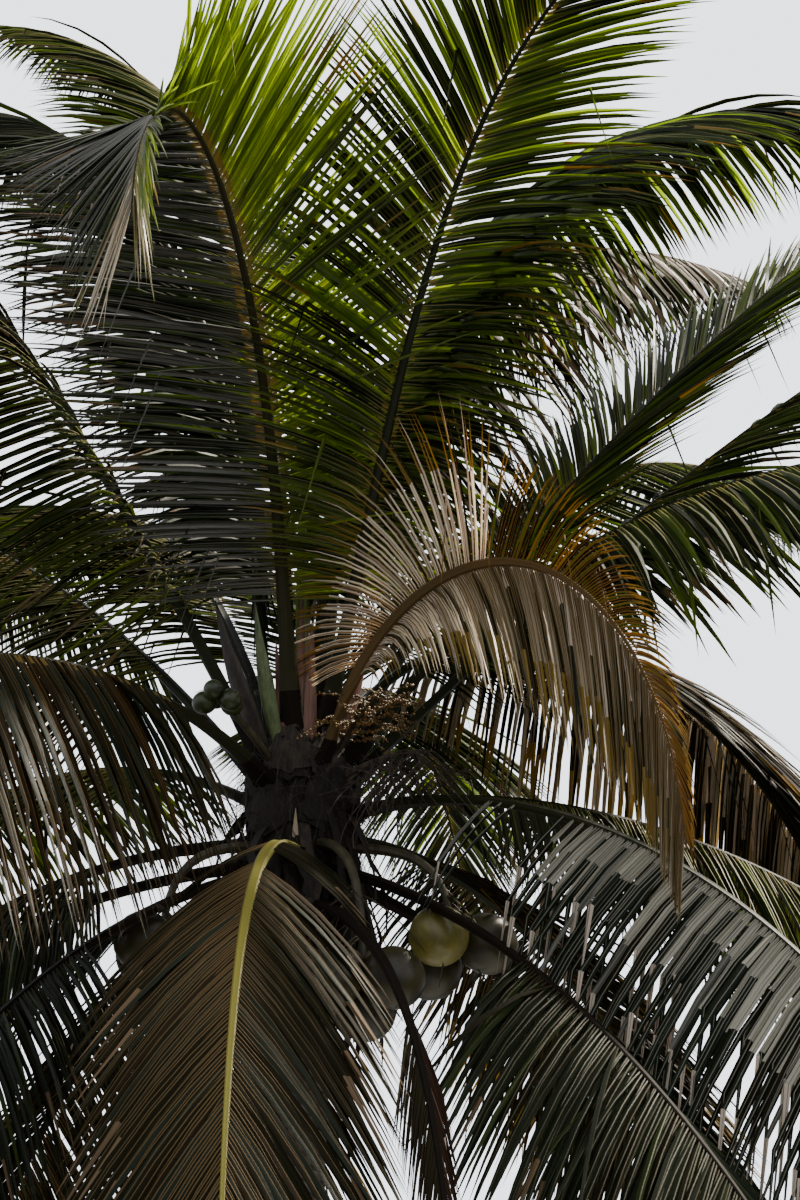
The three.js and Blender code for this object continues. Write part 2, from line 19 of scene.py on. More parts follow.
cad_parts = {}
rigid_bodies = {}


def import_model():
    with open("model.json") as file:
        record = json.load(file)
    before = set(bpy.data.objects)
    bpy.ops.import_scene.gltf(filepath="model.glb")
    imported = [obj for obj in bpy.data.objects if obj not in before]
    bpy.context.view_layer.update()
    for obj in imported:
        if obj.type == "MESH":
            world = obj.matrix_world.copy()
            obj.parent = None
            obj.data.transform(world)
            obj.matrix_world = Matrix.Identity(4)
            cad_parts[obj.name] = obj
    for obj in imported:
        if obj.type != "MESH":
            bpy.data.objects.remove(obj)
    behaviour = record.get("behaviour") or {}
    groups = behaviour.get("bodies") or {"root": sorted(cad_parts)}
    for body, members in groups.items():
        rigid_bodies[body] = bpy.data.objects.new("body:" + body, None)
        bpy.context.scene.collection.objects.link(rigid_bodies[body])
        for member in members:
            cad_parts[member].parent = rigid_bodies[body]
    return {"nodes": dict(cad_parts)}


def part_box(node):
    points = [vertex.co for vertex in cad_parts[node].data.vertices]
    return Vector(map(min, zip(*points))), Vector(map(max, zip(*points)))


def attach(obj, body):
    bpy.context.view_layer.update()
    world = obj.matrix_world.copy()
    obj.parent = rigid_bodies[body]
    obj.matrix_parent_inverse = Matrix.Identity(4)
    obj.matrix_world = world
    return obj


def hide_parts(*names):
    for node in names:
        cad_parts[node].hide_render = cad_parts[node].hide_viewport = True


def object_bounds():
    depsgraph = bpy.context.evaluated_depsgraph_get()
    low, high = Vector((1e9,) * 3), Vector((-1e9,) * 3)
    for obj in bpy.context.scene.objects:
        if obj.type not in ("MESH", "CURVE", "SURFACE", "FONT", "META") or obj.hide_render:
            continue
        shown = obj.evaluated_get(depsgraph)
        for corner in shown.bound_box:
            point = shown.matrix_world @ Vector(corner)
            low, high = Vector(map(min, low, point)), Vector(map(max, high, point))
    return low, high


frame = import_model()
CAD_BOX = [list(corner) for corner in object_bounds()]

HEAD_TOP = 0.27
SEAT_GAP = 0.0003
spear_low, spear_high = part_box("spear_leaf")
spear_middle = (spear_low + spear_high) / 2
HEART = np.array([spear_middle.x, spear_middle.y, spear_low.z - HEAD_TOP - SEAT_GAP])
print("nodes:", len(frame["nodes"]), "heart of the crown:", HEART.round(3))

# %% [markdown]
# ## Camera, light and floor
# The photo looks up at the crown by about twenty degrees through a long lens, from about ten metres.
# The camera is placed from the heart of the crown, so it follows the palm if the stem grows.
#
# The sky is a plain pale grey. A warm sun stands high behind the crown and to its right. It lights the
# upper sides of the fronds and shines through the young leaflets, which a lamp beside the camera
# wouldn't. The open sky is far brighter to the eye than the shade under it, as in a photo that is
# exposed for the shade, so the camera sees a brighter sky than the one that lights the leaves.

# %% Camera
CAMERA_FROM_HEART = Vector((0.370, -10.108, -2.930))
LOOKING_UP = math.radians(20)
LENS_LENGTH = 85.05
FARTHEST_SEEN = 200
bpy.ops.object.camera_add(
    location=Vector(HEART) + CAMERA_FROM_HEART,
    rotation=(math.pi / 2 + LOOKING_UP, 0, 0),
)
camera = bpy.context.object
camera.name = "camera"
camera.data.lens = LENS_LENGTH
camera.data.clip_end = FARTHEST_SEEN
bpy.context.scene.camera = camera
print("camera at", [round(x, 2) for x in camera.location])

# %% Sky
SKY = (0.90, 0.93, 0.98)
SKY_SEEN = 2.9
SKY_LIGHT, GROUND_LIGHT = 1.15, 0.20
HAZE_FROM, HAZE_TO = -0.30, 0.20


def add_node(nodes, kind, inputs=()):
    """A new shader node with some of its inputs set, given as pairs of a name and a value."""
    node = nodes.new(f"ShaderNode{kind}")
    for name, value in inputs:
        node.inputs[name].default_value = value
    return node


world = bpy.data.worlds.new("pale_sky")
bpy.context.scene.world = world
world.use_nodes = True
sky_nodes, sky_links = world.node_tree.nodes, world.node_tree.links
lit_by = sky_nodes["Background"]
lit_by.inputs["Color"].default_value = (*SKY, 1)
direction = add_node(sky_nodes, "TexCoord")
parts = add_node(sky_nodes, "SeparateXYZ")
haze = [("From Min", HAZE_FROM), ("From Max", HAZE_TO), ("To Min", GROUND_LIGHT), ("To Max", SKY_LIGHT)]
fall = add_node(sky_nodes, "MapRange", haze)
sky_links.new(direction.outputs["Generated"], parts.inputs["Vector"])
sky_links.new(parts.outputs["Z"], fall.inputs["Value"])
sky_links.new(fall.outputs["Result"], lit_by.inputs["Strength"])
seen = add_node(sky_nodes, "Background", [("Color", (*SKY, 1)), ("Strength", SKY_SEEN)])
ray = add_node(sky_nodes, "LightPath")
either = add_node(sky_nodes, "MixShader")
sky_links.new(ray.outputs["Is Camera Ray"], either.inputs["Fac"])
sky_links.new(lit_by.outputs[0], either.inputs[1])
sky_links.new(seen.outputs[0], either.inputs[2])
sky_links.new(either.outputs[0], sky_nodes["World Output"].inputs["Surface"])
print("sky made")


# %% Sun, floor and the start of every finish
def new_finish(name, roughness):
    """A new material, its nodes and links, and its Principled shader."""
    finish = bpy.data.materials.new(name)
    finish.use_nodes = True
    nodes, links = finish.node_tree.nodes, finish.node_tree.links
    face = nodes["Principled BSDF"]
    face.inputs["Roughness"].default_value = roughness
    return finish, nodes, links, face


SUN_FROM = Vector((0.52, 0.34, 0.78))
SUN_STRENGTH, SUN_WIDTH, SUN_COLOUR = 9.0, math.radians(3), (1.0, 0.91, 0.76)
bpy.ops.object.light_add(type="SUN", location=(4, 4, 12))
sun = bpy.context.object
sun.name = "soft_sun"
sun.rotation_euler = SUN_FROM.to_track_quat("Z", "Y").to_euler()
sun.data.energy = SUN_STRENGTH
sun.data.angle = SUN_WIDTH
sun.data.color = SUN_COLOUR

FLOOR_RADIUS, FLOOR_GREY = 6, (0.30, 0.30, 0.29, 1)
bpy.ops.mesh.primitive_circle_add(vertices=96, radius=FLOOR_RADIUS, fill_type="NGON", location=(0, 0, 0))
floor = bpy.context.object
floor.name = "floor"
floor_paint, _, _, floor_face = new_finish("floor_paint", 0.9)
floor_face.inputs["Base Color"].default_value = FLOOR_GREY
floor.data.materials.append(floor_paint)
print("sun and floor made")

# %% [markdown]
# ## Leaf skins
# A palm leaflet is a stiff, glossy blade. Seen from the lit side it is a satin green, and against the
# light it glows yellow-green, because light comes through it. So each skin mixes a Principled shader
# with a Translucent one. The colours are plain base colours, and a leaflet mostly has one skin all
# over, as on the real crown, with its own skins only for a root, which is mostly yellow, a dry tip or
# a midrib. Some skins also paint light and shade into the colour: leaflets in full sun and in shade,
# the grey and pale sheen of glossy leaflets, the sun's highlight at the top of the arching frond and
# the sunlight on its curtain.

# %% Leaf materials
VEIN_SCALE, VEIN_DETAIL, VEIN_RELIEF, VEIN_DEPTH = 70, 3, 0.25, 0.004


def add_relief(nodes, links, face, height, strength, depth):
    """Bumps on a shader's face that follow a height."""
    relief = add_node(nodes, "Bump", [("Strength", strength), ("Distance", depth)])
    links.new(height, relief.inputs["Height"])
    links.new(relief.outputs["Normal"], face.inputs["Normal"])


def leaf_skin(name, colour, glow, through=0.3, roughness=0.4, gloss=0.3):
    """A leaf's skin: its colour in front light, its glow from behind, how much comes through, its gloss."""
    skin, nodes, links, face = new_finish(name, roughness)
    face.inputs["Base Color"].default_value = (*colour, 1)
    face.inputs["Specular IOR Level"].default_value = gloss
    behind = add_node(nodes, "BsdfTranslucent", [("Color", (*glow, 1))])
    both = add_node(nodes, "MixShader", [("Fac", through)])
    links.new(face.outputs[0], both.inputs[1])
    links.new(behind.outputs[0], both.inputs[2])
    links.new(both.outputs[0], nodes["Material Output"].inputs["Surface"])
    place = add_node(nodes, "TexCoord")
    veins = add_node(nodes, "TexNoise", [("Scale", VEIN_SCALE), ("Detail", VEIN_DETAIL)])
    links.new(place.outputs["Object"], veins.inputs["Vector"])
    add_relief(nodes, links, face, veins.outputs["Fac"], VEIN_RELIEF, VEIN_DEPTH)
    return skin


LEAF_LOOKS = {
    # Painted light: bright is the colour of leaflets in full sun, put into the skin; most of it goes to the
    # lit side.
    "bright": ((0.095, 0.132, 0.012), (0.78, 0.94, 0.07), 0.65),
    "fresh": ((0.050, 0.080, 0.010), (0.56, 0.72, 0.05), 0.55),
    "mature": ((0.026, 0.040, 0.009), (0.32, 0.44, 0.04), 0.38, 0.45, 0.25),
    "dark": ((0.012, 0.017, 0.008), (0.12, 0.17, 0.02), 0.2, 0.5, 0.12),
    # Painted sheen: grey is the grey sheen of the sky on glossy leaflets, put into their colour.
    "grey": ((0.088, 0.085, 0.068), (0.12, 0.13, 0.06), 0.1, 0.35, 0.5),
    # Painted sheen: sheen is the pale shine of sunlight on a sheet of leaflets, put into their colour.
    "sheen": ((0.420, 0.390, 0.300), (0.26, 0.25, 0.15), 0.12, 0.35, 0.5),
    # Partly painted shade: olive and old are darkened past the leaves' own dull colour for the lower fronds
    # in shade.
    "olive": ((0.014, 0.0125, 0.005), (0.13, 0.11, 0.03), 0.2, 0.6, 0.04),
    # Partly painted light: a weathered grey-brown made pale to paint the sun on the arching frond's
    # curtain.
    "weathered": ((0.360, 0.300, 0.200), (0.80, 0.66, 0.40), 0.4, 0.36, 0.5),
    "old": ((0.024, 0.016, 0.007), (0.28, 0.17, 0.04), 0.25, 0.6, 0.05),
    "yellow": ((0.22, 0.15, 0.02), (0.70, 0.48, 0.04), 0.35),
    "dry": ((0.17, 0.115, 0.065), (0.50, 0.35, 0.18), 0.25, 0.6, 0.1),
    # Partly painted light: straw is pale dry straw, and on the arching frond's feet a near-white painted
    # highlight.
    "straw_and_highlight": ((0.940, 0.860, 0.720), (1.0, 0.93, 0.78), 0.65),
    "bleached": ((0.66, 0.55, 0.43), (0.86, 0.72, 0.56), 0.3, 0.45, 0.4),
    "dead": ((0.036, 0.018, 0.011), (0.20, 0.10, 0.05), 0.15, 0.7, 0.03),
    "line_yellow": ((0.20, 0.18, 0.045), (0.60, 0.50, 0.10), 0.2, 0.5, 0.15),
    "line_orange": ((0.20, 0.10, 0.018), (0.66, 0.32, 0.03), 0.3, 0.5, 0.1),
    "line_tan": ((0.13, 0.085, 0.036), (0.36, 0.22, 0.08), 0.2, 0.6, 0.05),
    "line_pale": ((0.21, 0.20, 0.16), (0.30, 0.28, 0.18), 0.2, 0.5, 0.15),
    "line_dark": ((0.045, 0.042, 0.020), (0.16, 0.13, 0.04), 0.2, 0.5, 0.1),
    "rib_green": ((0.020, 0.022, 0.008), (0.1, 0.1, 0.02), 0.05, 0.5, 0.15),
    "rib_yellow": ((0.24, 0.21, 0.035), (0.5, 0.4, 0.06), 0.05, 0.45, 0.2),
    "rib_brown": ((0.013, 0.009, 0.006), (0.1, 0.05, 0.02), 0.05, 0.6, 0.06),
}
LEAF_SKINS = [leaf_skin(f"leaf_{name}", *look) for name, look in LEAF_LOOKS.items()]
SKIN_INDEX = {name: index for index, name in enumerate(LEAF_LOOKS)}
print("leaf skins:", ", ".join(LEAF_LOOKS))

# %% [markdown]
# ## The fronds' rules
# A frond is a rib that leaves the head of the palm at one climb and bends to another under its weight.
# The ribs follow the same numbers as the plain solids, so the fine leaflets keep to their fronds. In
# each row: azimuth, climb at the foot and at the tip, sideways sway, bend, length, roll, height of
# the foot above the heart, the leaflets' lift and sag, how far they spread from the rib, and how the
# leaflets are tinted, in one word or with the left side's word before the right side's.

# %% Frond table
COLUMNS = "azimuth rise fall sway bend length roll foot lift sag spread tints".split()
FROND_ROWS = {
    "top_right": (8, 88, -24, 5, 1.6, 4.5, 0, 0.234, -25, 0.8, 1, "young"),
    "high_back_right": (61, 85, -17, -40, 1.5, 4.4, 10, 0.217, -50, 1.7, 1, "bleached"),
    "top_back": (114, 84, 14, 50, 2.5, 4.4, 0, 0.201, -10, 0.8, 1, "mature"),
    "high_left_back": (168, 84, -25, -22, 2.4, 4.3, -10, 0.179, -20, 0.9, 1, "shade"),
    "high_front": (259, 72, -95, -2, 2.25, 3.5, 35, 0.146, 10, 0.2, 1, "lit shaded"),
    "high_right": (312, 73, -68, 2, 3.6, 4.1, 0, 0.150, 5, 0.35, 1, "young"),
    "right_fall": (34, 70, -85, 1, 0.8, 3.7, 0, 0.140, -20, 0.8, 0.9, "weathered old"),
    "arch_front": (303, 82, -87, 3, 0.7, 3.0, 105, -0.010, 0, 0.6, 1, "scorched weathered"),
    "left": (203, 60, 20, 0, 1.7, 4.3, 20, 0.080, -45, 0.5, 1, "mature"),
    "back": (118, 60, -25, 0, 1.4, 4.3, 0, 0.080, 0, 0.6, 1, "mature"),
    "arch_back_right": (46, 58, -23, 0, 1.7, 4.3, 20, 0.069, -20, 0.8, 1, "mature"),
    "right_back": (23, 55, 36, 0, 1.6, 4.4, 20, 0.052, 10, 0.25, 0.62, "young"),
    "right_front": (338, 54, -41, 0, 0.9, 4.3, 20, 0.047, -20, 0.5, 1, "mature"),
    "left_back": (156, 51, -23, 0, 1.4, 4.3, -10, 0.030, -20, 0.7, 1, "mature"),
    "back_right": (79, 48, -45, 0, 1.1, 4.2, 10, 0.014, -15, 0.7, 1, "mature"),
    "right": (0, 46, 22, 0, 1.5, 4.4, 20, 0.003, -5, 0.4, 1, "mature"),
    "left_front": (233, 38, -52, 0, 0.55, 4.2, -15, -0.041, -30, 0.9, 1, "smoky"),
    "back_left": (137, 34, -55, 0, 0.9, 4.2, -10, -0.063, -15, 0.7, 1, "mature"),
    "low_right": (12, 27, -60, 0, 0.6, 4.3, 15, -0.101, -25, 0.8, 1, "mature"),
    "low_right_front": (332, 20, -84, 0, 0.6, 4.2, 25, -0.140, -30, 0.9, 1.25, "shade tattered"),
    "low_back_right": (54, 16, -72, 0, 0.8, 4.2, 0, -0.162, -20, 0.8, 1, "old"),
    "low_back": (98, 10, -76, 0, 0.8, 4.1, 0, -0.195, -25, 0.9, 0.85, "old"),
    "low_left_back": (170, 7, -86, 0, 0.75, 4.1, 0, -0.211, -30, 0.9, 0.85, "shade"),
    "low_back_left": (128, -4, -80, 0, 0.8, 4.1, 0, -0.272, -25, 0.9, 0.8, "old"),
    "hang_front": (266, -7, -78, 9, 1.05, 4.0, 0, -0.288, -12, 0.6, 0.7, "olive"),
    "low_left": (193, -9, -84, 0, 0.95, 4.1, 0, -0.299, -30, 0.9, 0.8, "shade"),
    "hang_back_right": (33, -12, -80, 0, 0.9, 4.0, 0, -0.316, -25, 0.8, 0.75, "old"),
    "hang_right_front": (316, -15, -70, 0, 0.7, 4.0, 0, -0.332, -20, 0.7, 0.85, "shade"),
    "hang_left": (228, -17, -80, 0, 0.9, 4.0, 0, -0.343, -20, 0.8, 0.75, "shade"),
    "dead": (287, -17, -92, -12, 1.35, 3.3, 0, -0.463, -45, 1.1, 0.35, "dead"),
}
FRONDS = {name: dict(zip(COLUMNS, row), name=name) for name, row in FROND_ROWS.items()}
print("fronds:", len(FRONDS))

# %% The rib's curve
FOOT_REACH, TOP_FOOT_REACH, REACH_POWER = 0.160, 0.084, 1.5
SHOULDER_HEIGHT, TOP_FOOT_HEIGHT = 0.030, 0.240
RIB_FOOT_WIDTH, RIB_TIP_WIDTH, RIB_TAPER, RIB_HEIGHT_SHARE = 0.067, 0.009, 1.5, 0.7
BLADE_START, BLADE_END = 0.15, 0.985
SWAY_POWER = 1.5
PATH_STEPS = 80


def mix(a, b, share):
    return a + (b - a) * share


def unit(v):
    return v / np.maximum(np.linalg.norm(v, axis=-1, keepdims=True), 1e-9)


def around(azimuth, reach, rise):
    """Places by azimuth in radians, reach from the palm's axis and rise above the heart."""
    return HEART + np.stack([reach * np.cos(azimuth), reach * np.sin(azimuth), rise + 0 * azimuth], -1)


def rib_frame(frond, s):
    """The rib's directions at the shares s of its length: along it, to its left and up from it."""
    share = np.clip(s, 0, 1)
    climb = np.radians(mix(frond["rise"], frond["fall"], share ** frond["bend"]))
    heading = np.radians(frond["azimuth"] + frond["sway"] * share**SWAY_POWER)
    roll = np.radians(frond["roll"] * np.minimum(1, share / BLADE_START))[..., None]
    ahead, beside = np.cos(heading), np.sin(heading)
    along = np.stack([np.cos(climb) * ahead, np.cos(climb) * beside, np.sin(climb)], -1)
    flat_left = np.stack([-beside, ahead, 0 * share], -1)
    flat_up = np.stack([-np.sin(climb) * ahead, -np.sin(climb) * beside, np.cos(climb)], -1)
    left = flat_left * np.cos(roll) + flat_up * np.sin(roll)
    up = flat_up * np.cos(roll) - flat_left * np.sin(roll)
    return along, left, up


def foot_place(frond):
    over = max(0, frond["foot"] - SHOULDER_HEIGHT) / (TOP_FOOT_HEIGHT - SHOULDER_HEIGHT)
    reach = mix(FOOT_REACH, TOP_FOOT_REACH, over**REACH_POWER)
    return around(math.radians(frond["azimuth"]), reach, frond["foot"])


def rib_points(frond, s):
    """Places on the rib's middle line, at shares s of its length."""
    steps = (np.arange(PATH_STEPS) + 0.5) / PATH_STEPS
    along = rib_frame(frond, steps)[0] * frond["length"] / PATH_STEPS
    path = np.vstack([foot_place(frond), foot_place(frond) + np.cumsum(along, axis=0)])
    knots = np.linspace(0, 1, PATH_STEPS + 1)
    inside = np.stack([np.interp(np.clip(s, 0, 1), knots, path[:, k]) for k in range(3)], -1)
    beyond = (s - np.clip(s, 0, 1))[..., None] * frond["length"]
    return inside + beyond * rib_frame(frond, s)[0]


def rib_width(s):
    share = np.clip(s, 0, 1)
    return RIB_FOOT_WIDTH * (1 - share) ** RIB_TAPER + RIB_TIP_WIDTH * share


print("the spread frond's tip:", rib_points(FRONDS["right"], np.array(1.0)).round(2))

# %% [markdown]
# ## Joined meshes from arrays
# A crown has thousands of leaflets, far too many to model by hand, and an operator for each would
# take hours. Here one leaflet's points are worked out as arrays and repeated along the ribs, and all
# of a group end as one mesh. A small collector keeps the points, faces and tints together.

# %% Mesh collector
class Collector:
    """Gathers points, faces and tints, and makes one mesh of them."""

    def __init__(self):
        self.points, self.faces, self.tints, self.count = [], [], [], 0

    def add(self, points, faces, tints):
        """faces: a list of index arrays of one width each; tints: one skin index for each face."""
        self.points.append(points.reshape(-1, 3))
        for face, tint in zip(faces, tints):
            self.faces.append(face + self.count)
            self.tints.append(np.broadcast_to(tint, len(face)))
        self.count += len(self.points[-1])

    def mesh(self, name, skins):
        mesh = bpy.data.meshes.new(name)
        corners = np.concatenate([f.ravel() for f in self.faces])
        totals = np.concatenate([np.full(len(f), f.shape[1]) for f in self.faces])
        starts = np.concatenate([[0], np.cumsum(totals)[:-1]])
        mesh.vertices.add(self.count)
        mesh.vertices.foreach_set("co", np.concatenate(self.points).astype(np.float32).ravel())
        mesh.loops.add(len(corners))
        mesh.loops.foreach_set("vertex_index", corners.astype(np.int32))
        mesh.polygons.add(len(totals))
        mesh.polygons.foreach_set("loop_start", starts.astype(np.int32))
        mesh.polygons.foreach_set("material_index", np.concatenate(self.tints).astype(np.int32))
        for skin in skins:
            mesh.materials.append(skin)
        mesh.update(calc_edges=True)
        mesh.validate()
        piece = bpy.data.objects.new(name, mesh)
        bpy.context.scene.collection.objects.link(piece)
        return piece


def select_only(piece):
    bpy.ops.object.select_all(action="DESELECT")
    piece.hide_set(False)
    piece.select_set(True)
    bpy.context.view_layer.objects.active = piece


def finish_piece(piece, nodes=(), crease=40):
    """Smooths a finished piece, ties it to the palm and hides the frame's parts that it stands for."""
    select_only(piece)
    bpy.ops.object.shade_smooth_by_angle(angle=math.radians(crease))
    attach(piece, "root")
    if nodes:
        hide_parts(*nodes)
    triangles = sum(len(p.vertices) - 2 for p in piece.data.polygons)
    print(f"{piece.name}: {triangles} triangles")


def tube_faces(rings, sides):
    """Quads between the rings of a tube, and a face across each end."""
    ring = np.arange(rings - 1)[:, None] * sides
    i = np.arange(sides)[None, :]
    j = (i + 1) % sides
    quads = np.stack([ring + i, ring + j, ring + j + sides, ring + i + sides], -1).reshape(-1, 4)
    foot = np.arange(sides)[::-1][None, :]
    tip = ((rings - 1) * sides + np.arange(sides))[None, :]
    return quads, foot, tip


def repeated(faces, count, stride):
    """The same faces for each of count copies of a shape that has stride points."""
    offsets = (np.arange(count) * stride)[:, None, None]
    return [(face + offsets).reshape(-1, face.shape[1]) for face in faces]


print("quads of a leaflet's body:", len(tube_faces(6, 6)[0]))

# %% [markdown]
# ## Leaflets
# A coconut leaflet is folded like a roof, with a stiff pale midrib on the ridge. It is as wide as two
# fingers and almost a metre long. Near the foot of the blade it stands square to the rib, and towards
# the tip it points forward. Its end hangs, and here and there one is snapped or missing.
#
# Each leaflet is a closed blade of six cross-sections and a tip: two roof slopes, a narrow strip on
# the ridge and one under it. The strips are how the midribs read as fine light lines.

# %% Leaflet habits
# How leaflets grow: their spacing along the rib, how steep the fold is, how wide they are, how much
# they stray, how long they are and what share of that those at the tip have. Then for those at the
# foot of the blade: up to what share of it, by how many degrees they lean back, how much longer they
# are, what they are tinted and up to what share. Past dry_from the blade's end has dried pale.
USUAL_HABIT = dict(
    spacing=0.0162, fold=1.25, width=1, stray=1, longer=1, side_share=1, tip_share=0.28,
    foot_part=0.01, foot_lean=0, foot_longer=1, foot_tint=None, foot_tinted=0, dry_from=1,
)
# What differs on some fronds, and then on one side of them: 1 is the left side and -1 the right.
# The right side of the arching frond is a curtain that starts towards the light and then falls
HABITS = {
    "hang_front": dict(spacing=0.0205, fold=0.7, width=1.08, stray=0.35, longer=1.12),
    ("hang_front", 1): dict(side_share=1.2, foot_part=0.5, foot_lean=-22, foot_longer=0.85),
    ("hang_front", -1): dict(foot_part=0.5, foot_lean=-18, foot_longer=0.9),
    # The pale foot tint on this frond paints the sun's highlight at the top of the arch.
    "arch_front": dict(spacing=0.0135, fold=1.1, width=0.8, stray=0.5, foot_tint="pale"),
    ("arch_front", 1): dict(
        side_share=0.5, foot_part=0.34, foot_lean=48, foot_longer=1.8, foot_tinted=0.34
    ),
    ("arch_front", -1): dict(lift=48, sag=0.75, spread=0.52, foot_tinted=0.26),
    "left_front": dict(spacing=0.0132, fold=0.5, width=1.2, stray=0.6),
    ("left_front", 1): dict(foot_part=0.5, foot_longer=1.7),
    "low_right_front": dict(spacing=0.0135, fold=0.8, width=0.92, stray=0.6, longer=1.1),
    "high_front": dict(
        spacing=0.0112, fold=1.1, width=0.8, stray=1.2, longer=1.1, tip_share=0.42, dry_from=0.94
    ),
    "hang_right_front": dict(spacing=0.0150, width=1.1, longer=1.3),
    "high_right": dict(spacing=0.0165, fold=1.2, width=1.1, stray=0.8),
    "high_back_right": dict(spacing=0.019, fold=0.5, width=1.45, stray=1.2),
    "top_right": dict(spacing=0.0140, fold=0.9, width=1.25),
    "top_back": dict(fold=1.0, width=1.25),
    "high_left_back": dict(fold=1.0, width=1.2),
    "right_front": dict(fold=0.8, width=1.3),
    "right_back": dict(longer=0.85),
    "right_fall": dict(spacing=0.0150, fold=0.7, width=1.1, longer=1.1),
    "dead": dict(spacing=0.018, fold=2.0, longer=0.48),
}


def leaflet_habit(frond, side):
    """How the leaflets on one side of a frond grow."""
    habit = dict(USUAL_HABIT, lift=frond["lift"], sag=frond["sag"], spread=frond["spread"])
    for key in (frond["name"], (frond["name"], side)):
        habit.update(HABITS.get(key, {}))
    return habit


print("fronds and sides with habits of their own:", len(HABITS))

# %% Leaflet tints
# Most tints are ways of ageing, and some paint light and shade: lit paints a side in full sun, and
# shaded, shade and the dark tint with orange midribs paint sides and fronds in shade. For each: its
# blades' skins and their shares, the midribs, what the tips turn and how often, what colour the roots
# take, how many of the six stretches that takes and how often, and a share of leaflets that are
# snapped. A root's colour that takes two stretches or more can take one more or one less. The last
# share is also the chance that a snapped end has dried pale.
TINTS = {
    # Painted light: the side in the sun is dealt bright, yellow-green skins for the sun on it and through
    # it.
    "lit": (
        {"bright": 6, "fresh": 4, "mature": 2},
        "line_yellow", ("yellow", 0.06), ("yellow", 1, 0.8), 0.02,
    ),
    # Painted shade: the side in shade is dealt dark and grey skins.
    "shaded": (
        {"dark": 3, "mature": 3, "grey": 5},
        "line_pale", ("dry", 0.08), ("yellow", 1, 0.7), 0.08,
    ),
    "young": (
        {"fresh": 3, "mature": 4, "dark": 3, "bright": 1},
        "line_yellow", ("yellow", 0.08), ("yellow", 1, 0.3), 0.03,
    ),
    "mature": (
        {"mature": 5, "dark": 5, "fresh": 1, "olive": 1},
        "line_yellow", ("dry", 0.12), ("yellow", 1, 0.3), 0.04,
    ),
    # Painted shade: fronds that lie in shade are dealt mostly dark skins, with dark midribs.
    "shade": (
        {"dark": 7, "mature": 1.5, "olive": 2},
        "line_dark", ("dry", 0.12), ("old", 1, 0.3), 0.04,
    ),
    # Painted shade: the frond that hangs in front lies in shade, so it is dealt the darkened olive skins.
    "olive": (
        {"olive": 6, "dark": 3, "old": 1},
        "line_tan", ("dry", 0.12), ("olive", 1, 0), 0.02,
    ),
    # Partly painted light: the curtain's tint is dealt mostly the pale, sunlit weathered skin.
    "weathered": (
        {"weathered": 6, "olive": 4, "dark": 1.5, "bleached": 1},
        "line_tan", ("yellow", 0.45), ("bleached", 2, 0.35), 0.02,
    ),
    "scorched": (
        {"olive": 5, "mature": 3, "dark": 1, "yellow": 1},
        "line_orange", ("yellow", 0.75), ("olive", 1, 0), 0.02,
    ),
    "pale": (
        {"straw_and_highlight": 6, "bleached": 3, "weathered": 1, "olive": 1},
        "line_pale", ("dry", 0.2), ("straw_and_highlight", 3, 0.7), 0.02,
    ),
    "bleached": (
        {"mature": 3, "olive": 3, "fresh": 1, "dry": 1},
        "line_tan", ("dry", 0.2), ("bleached", 3, 0.7), 0.2,
    ),
    # Painted sheen: the roots of these leaflets take the pale sheen skin where the sun falls on the sheet
    # beside the rib.
    "tattered": (
        {"dark": 7, "grey": 1, "olive": 3},
        "line_pale", ("dark", 0.1), ("sheen", 2, 0.88), 0.6,
    ),
    "old": (
        {"old": 3, "olive": 4, "dark": 4, "dry": 0.4},
        "line_tan", ("yellow", 0.15), ("old", 1, 0.3), 0.06,
    ),
    # Painted shade: a dark tint for the frond that lies in shade on the left, with orange midribs.
    "smoky": (
        {"dark": 6, "olive": 3, "old": 2},
        "line_orange", ("old", 0.3), ("yellow", 1, 0.3), 0.02,
    ),
    "dead": (
        {"dead": 7, "dry": 1},
        "line_dark", ("dead", 0), ("dead", 1, 0), 0.2,
    ),
}
NEIGHBOURS, NEIGHBOUR_SHARE = 9, 0.22
RINGS_AT = np.array([0, 0.04, 0.18, 0.38, 0.60, 0.82, 1.0])
STRETCHES = RINGS_AT[1:] - RINGS_AT[:-1]
STRETCH_MIDDLES = (RINGS_AT[1:] + RINGS_AT[:-1]) / 2
SECTION_SIDES = 6
CREASES_AT, NO_CREASE = [0.35, 0.5], 2


def deal_tints(tint, count, rng):
    """One skin index for each leaflet, in the tint's shares, with neighbours a little alike."""
    skins = np.array([SKIN_INDEX[name] for name in TINTS[tint][0]])
    weights = list(TINTS[tint][0].values())
    edges = np.cumsum(weights) / np.sum(weights)
    knots = np.arange(0, count + NEIGHBOURS, NEIGHBOURS)
    slow = np.interp(np.arange(count), knots, rng.random(len(knots)))
    pick = np.clip(NEIGHBOUR_SHARE * slow + (1 - NEIGHBOUR_SHARE) * rng.random(count), 0, 0.999)
    rank = np.argsort(np.argsort(pick)) / count
    return skins[np.searchsorted(edges, rank, side="right").clip(0, len(skins) - 1)]


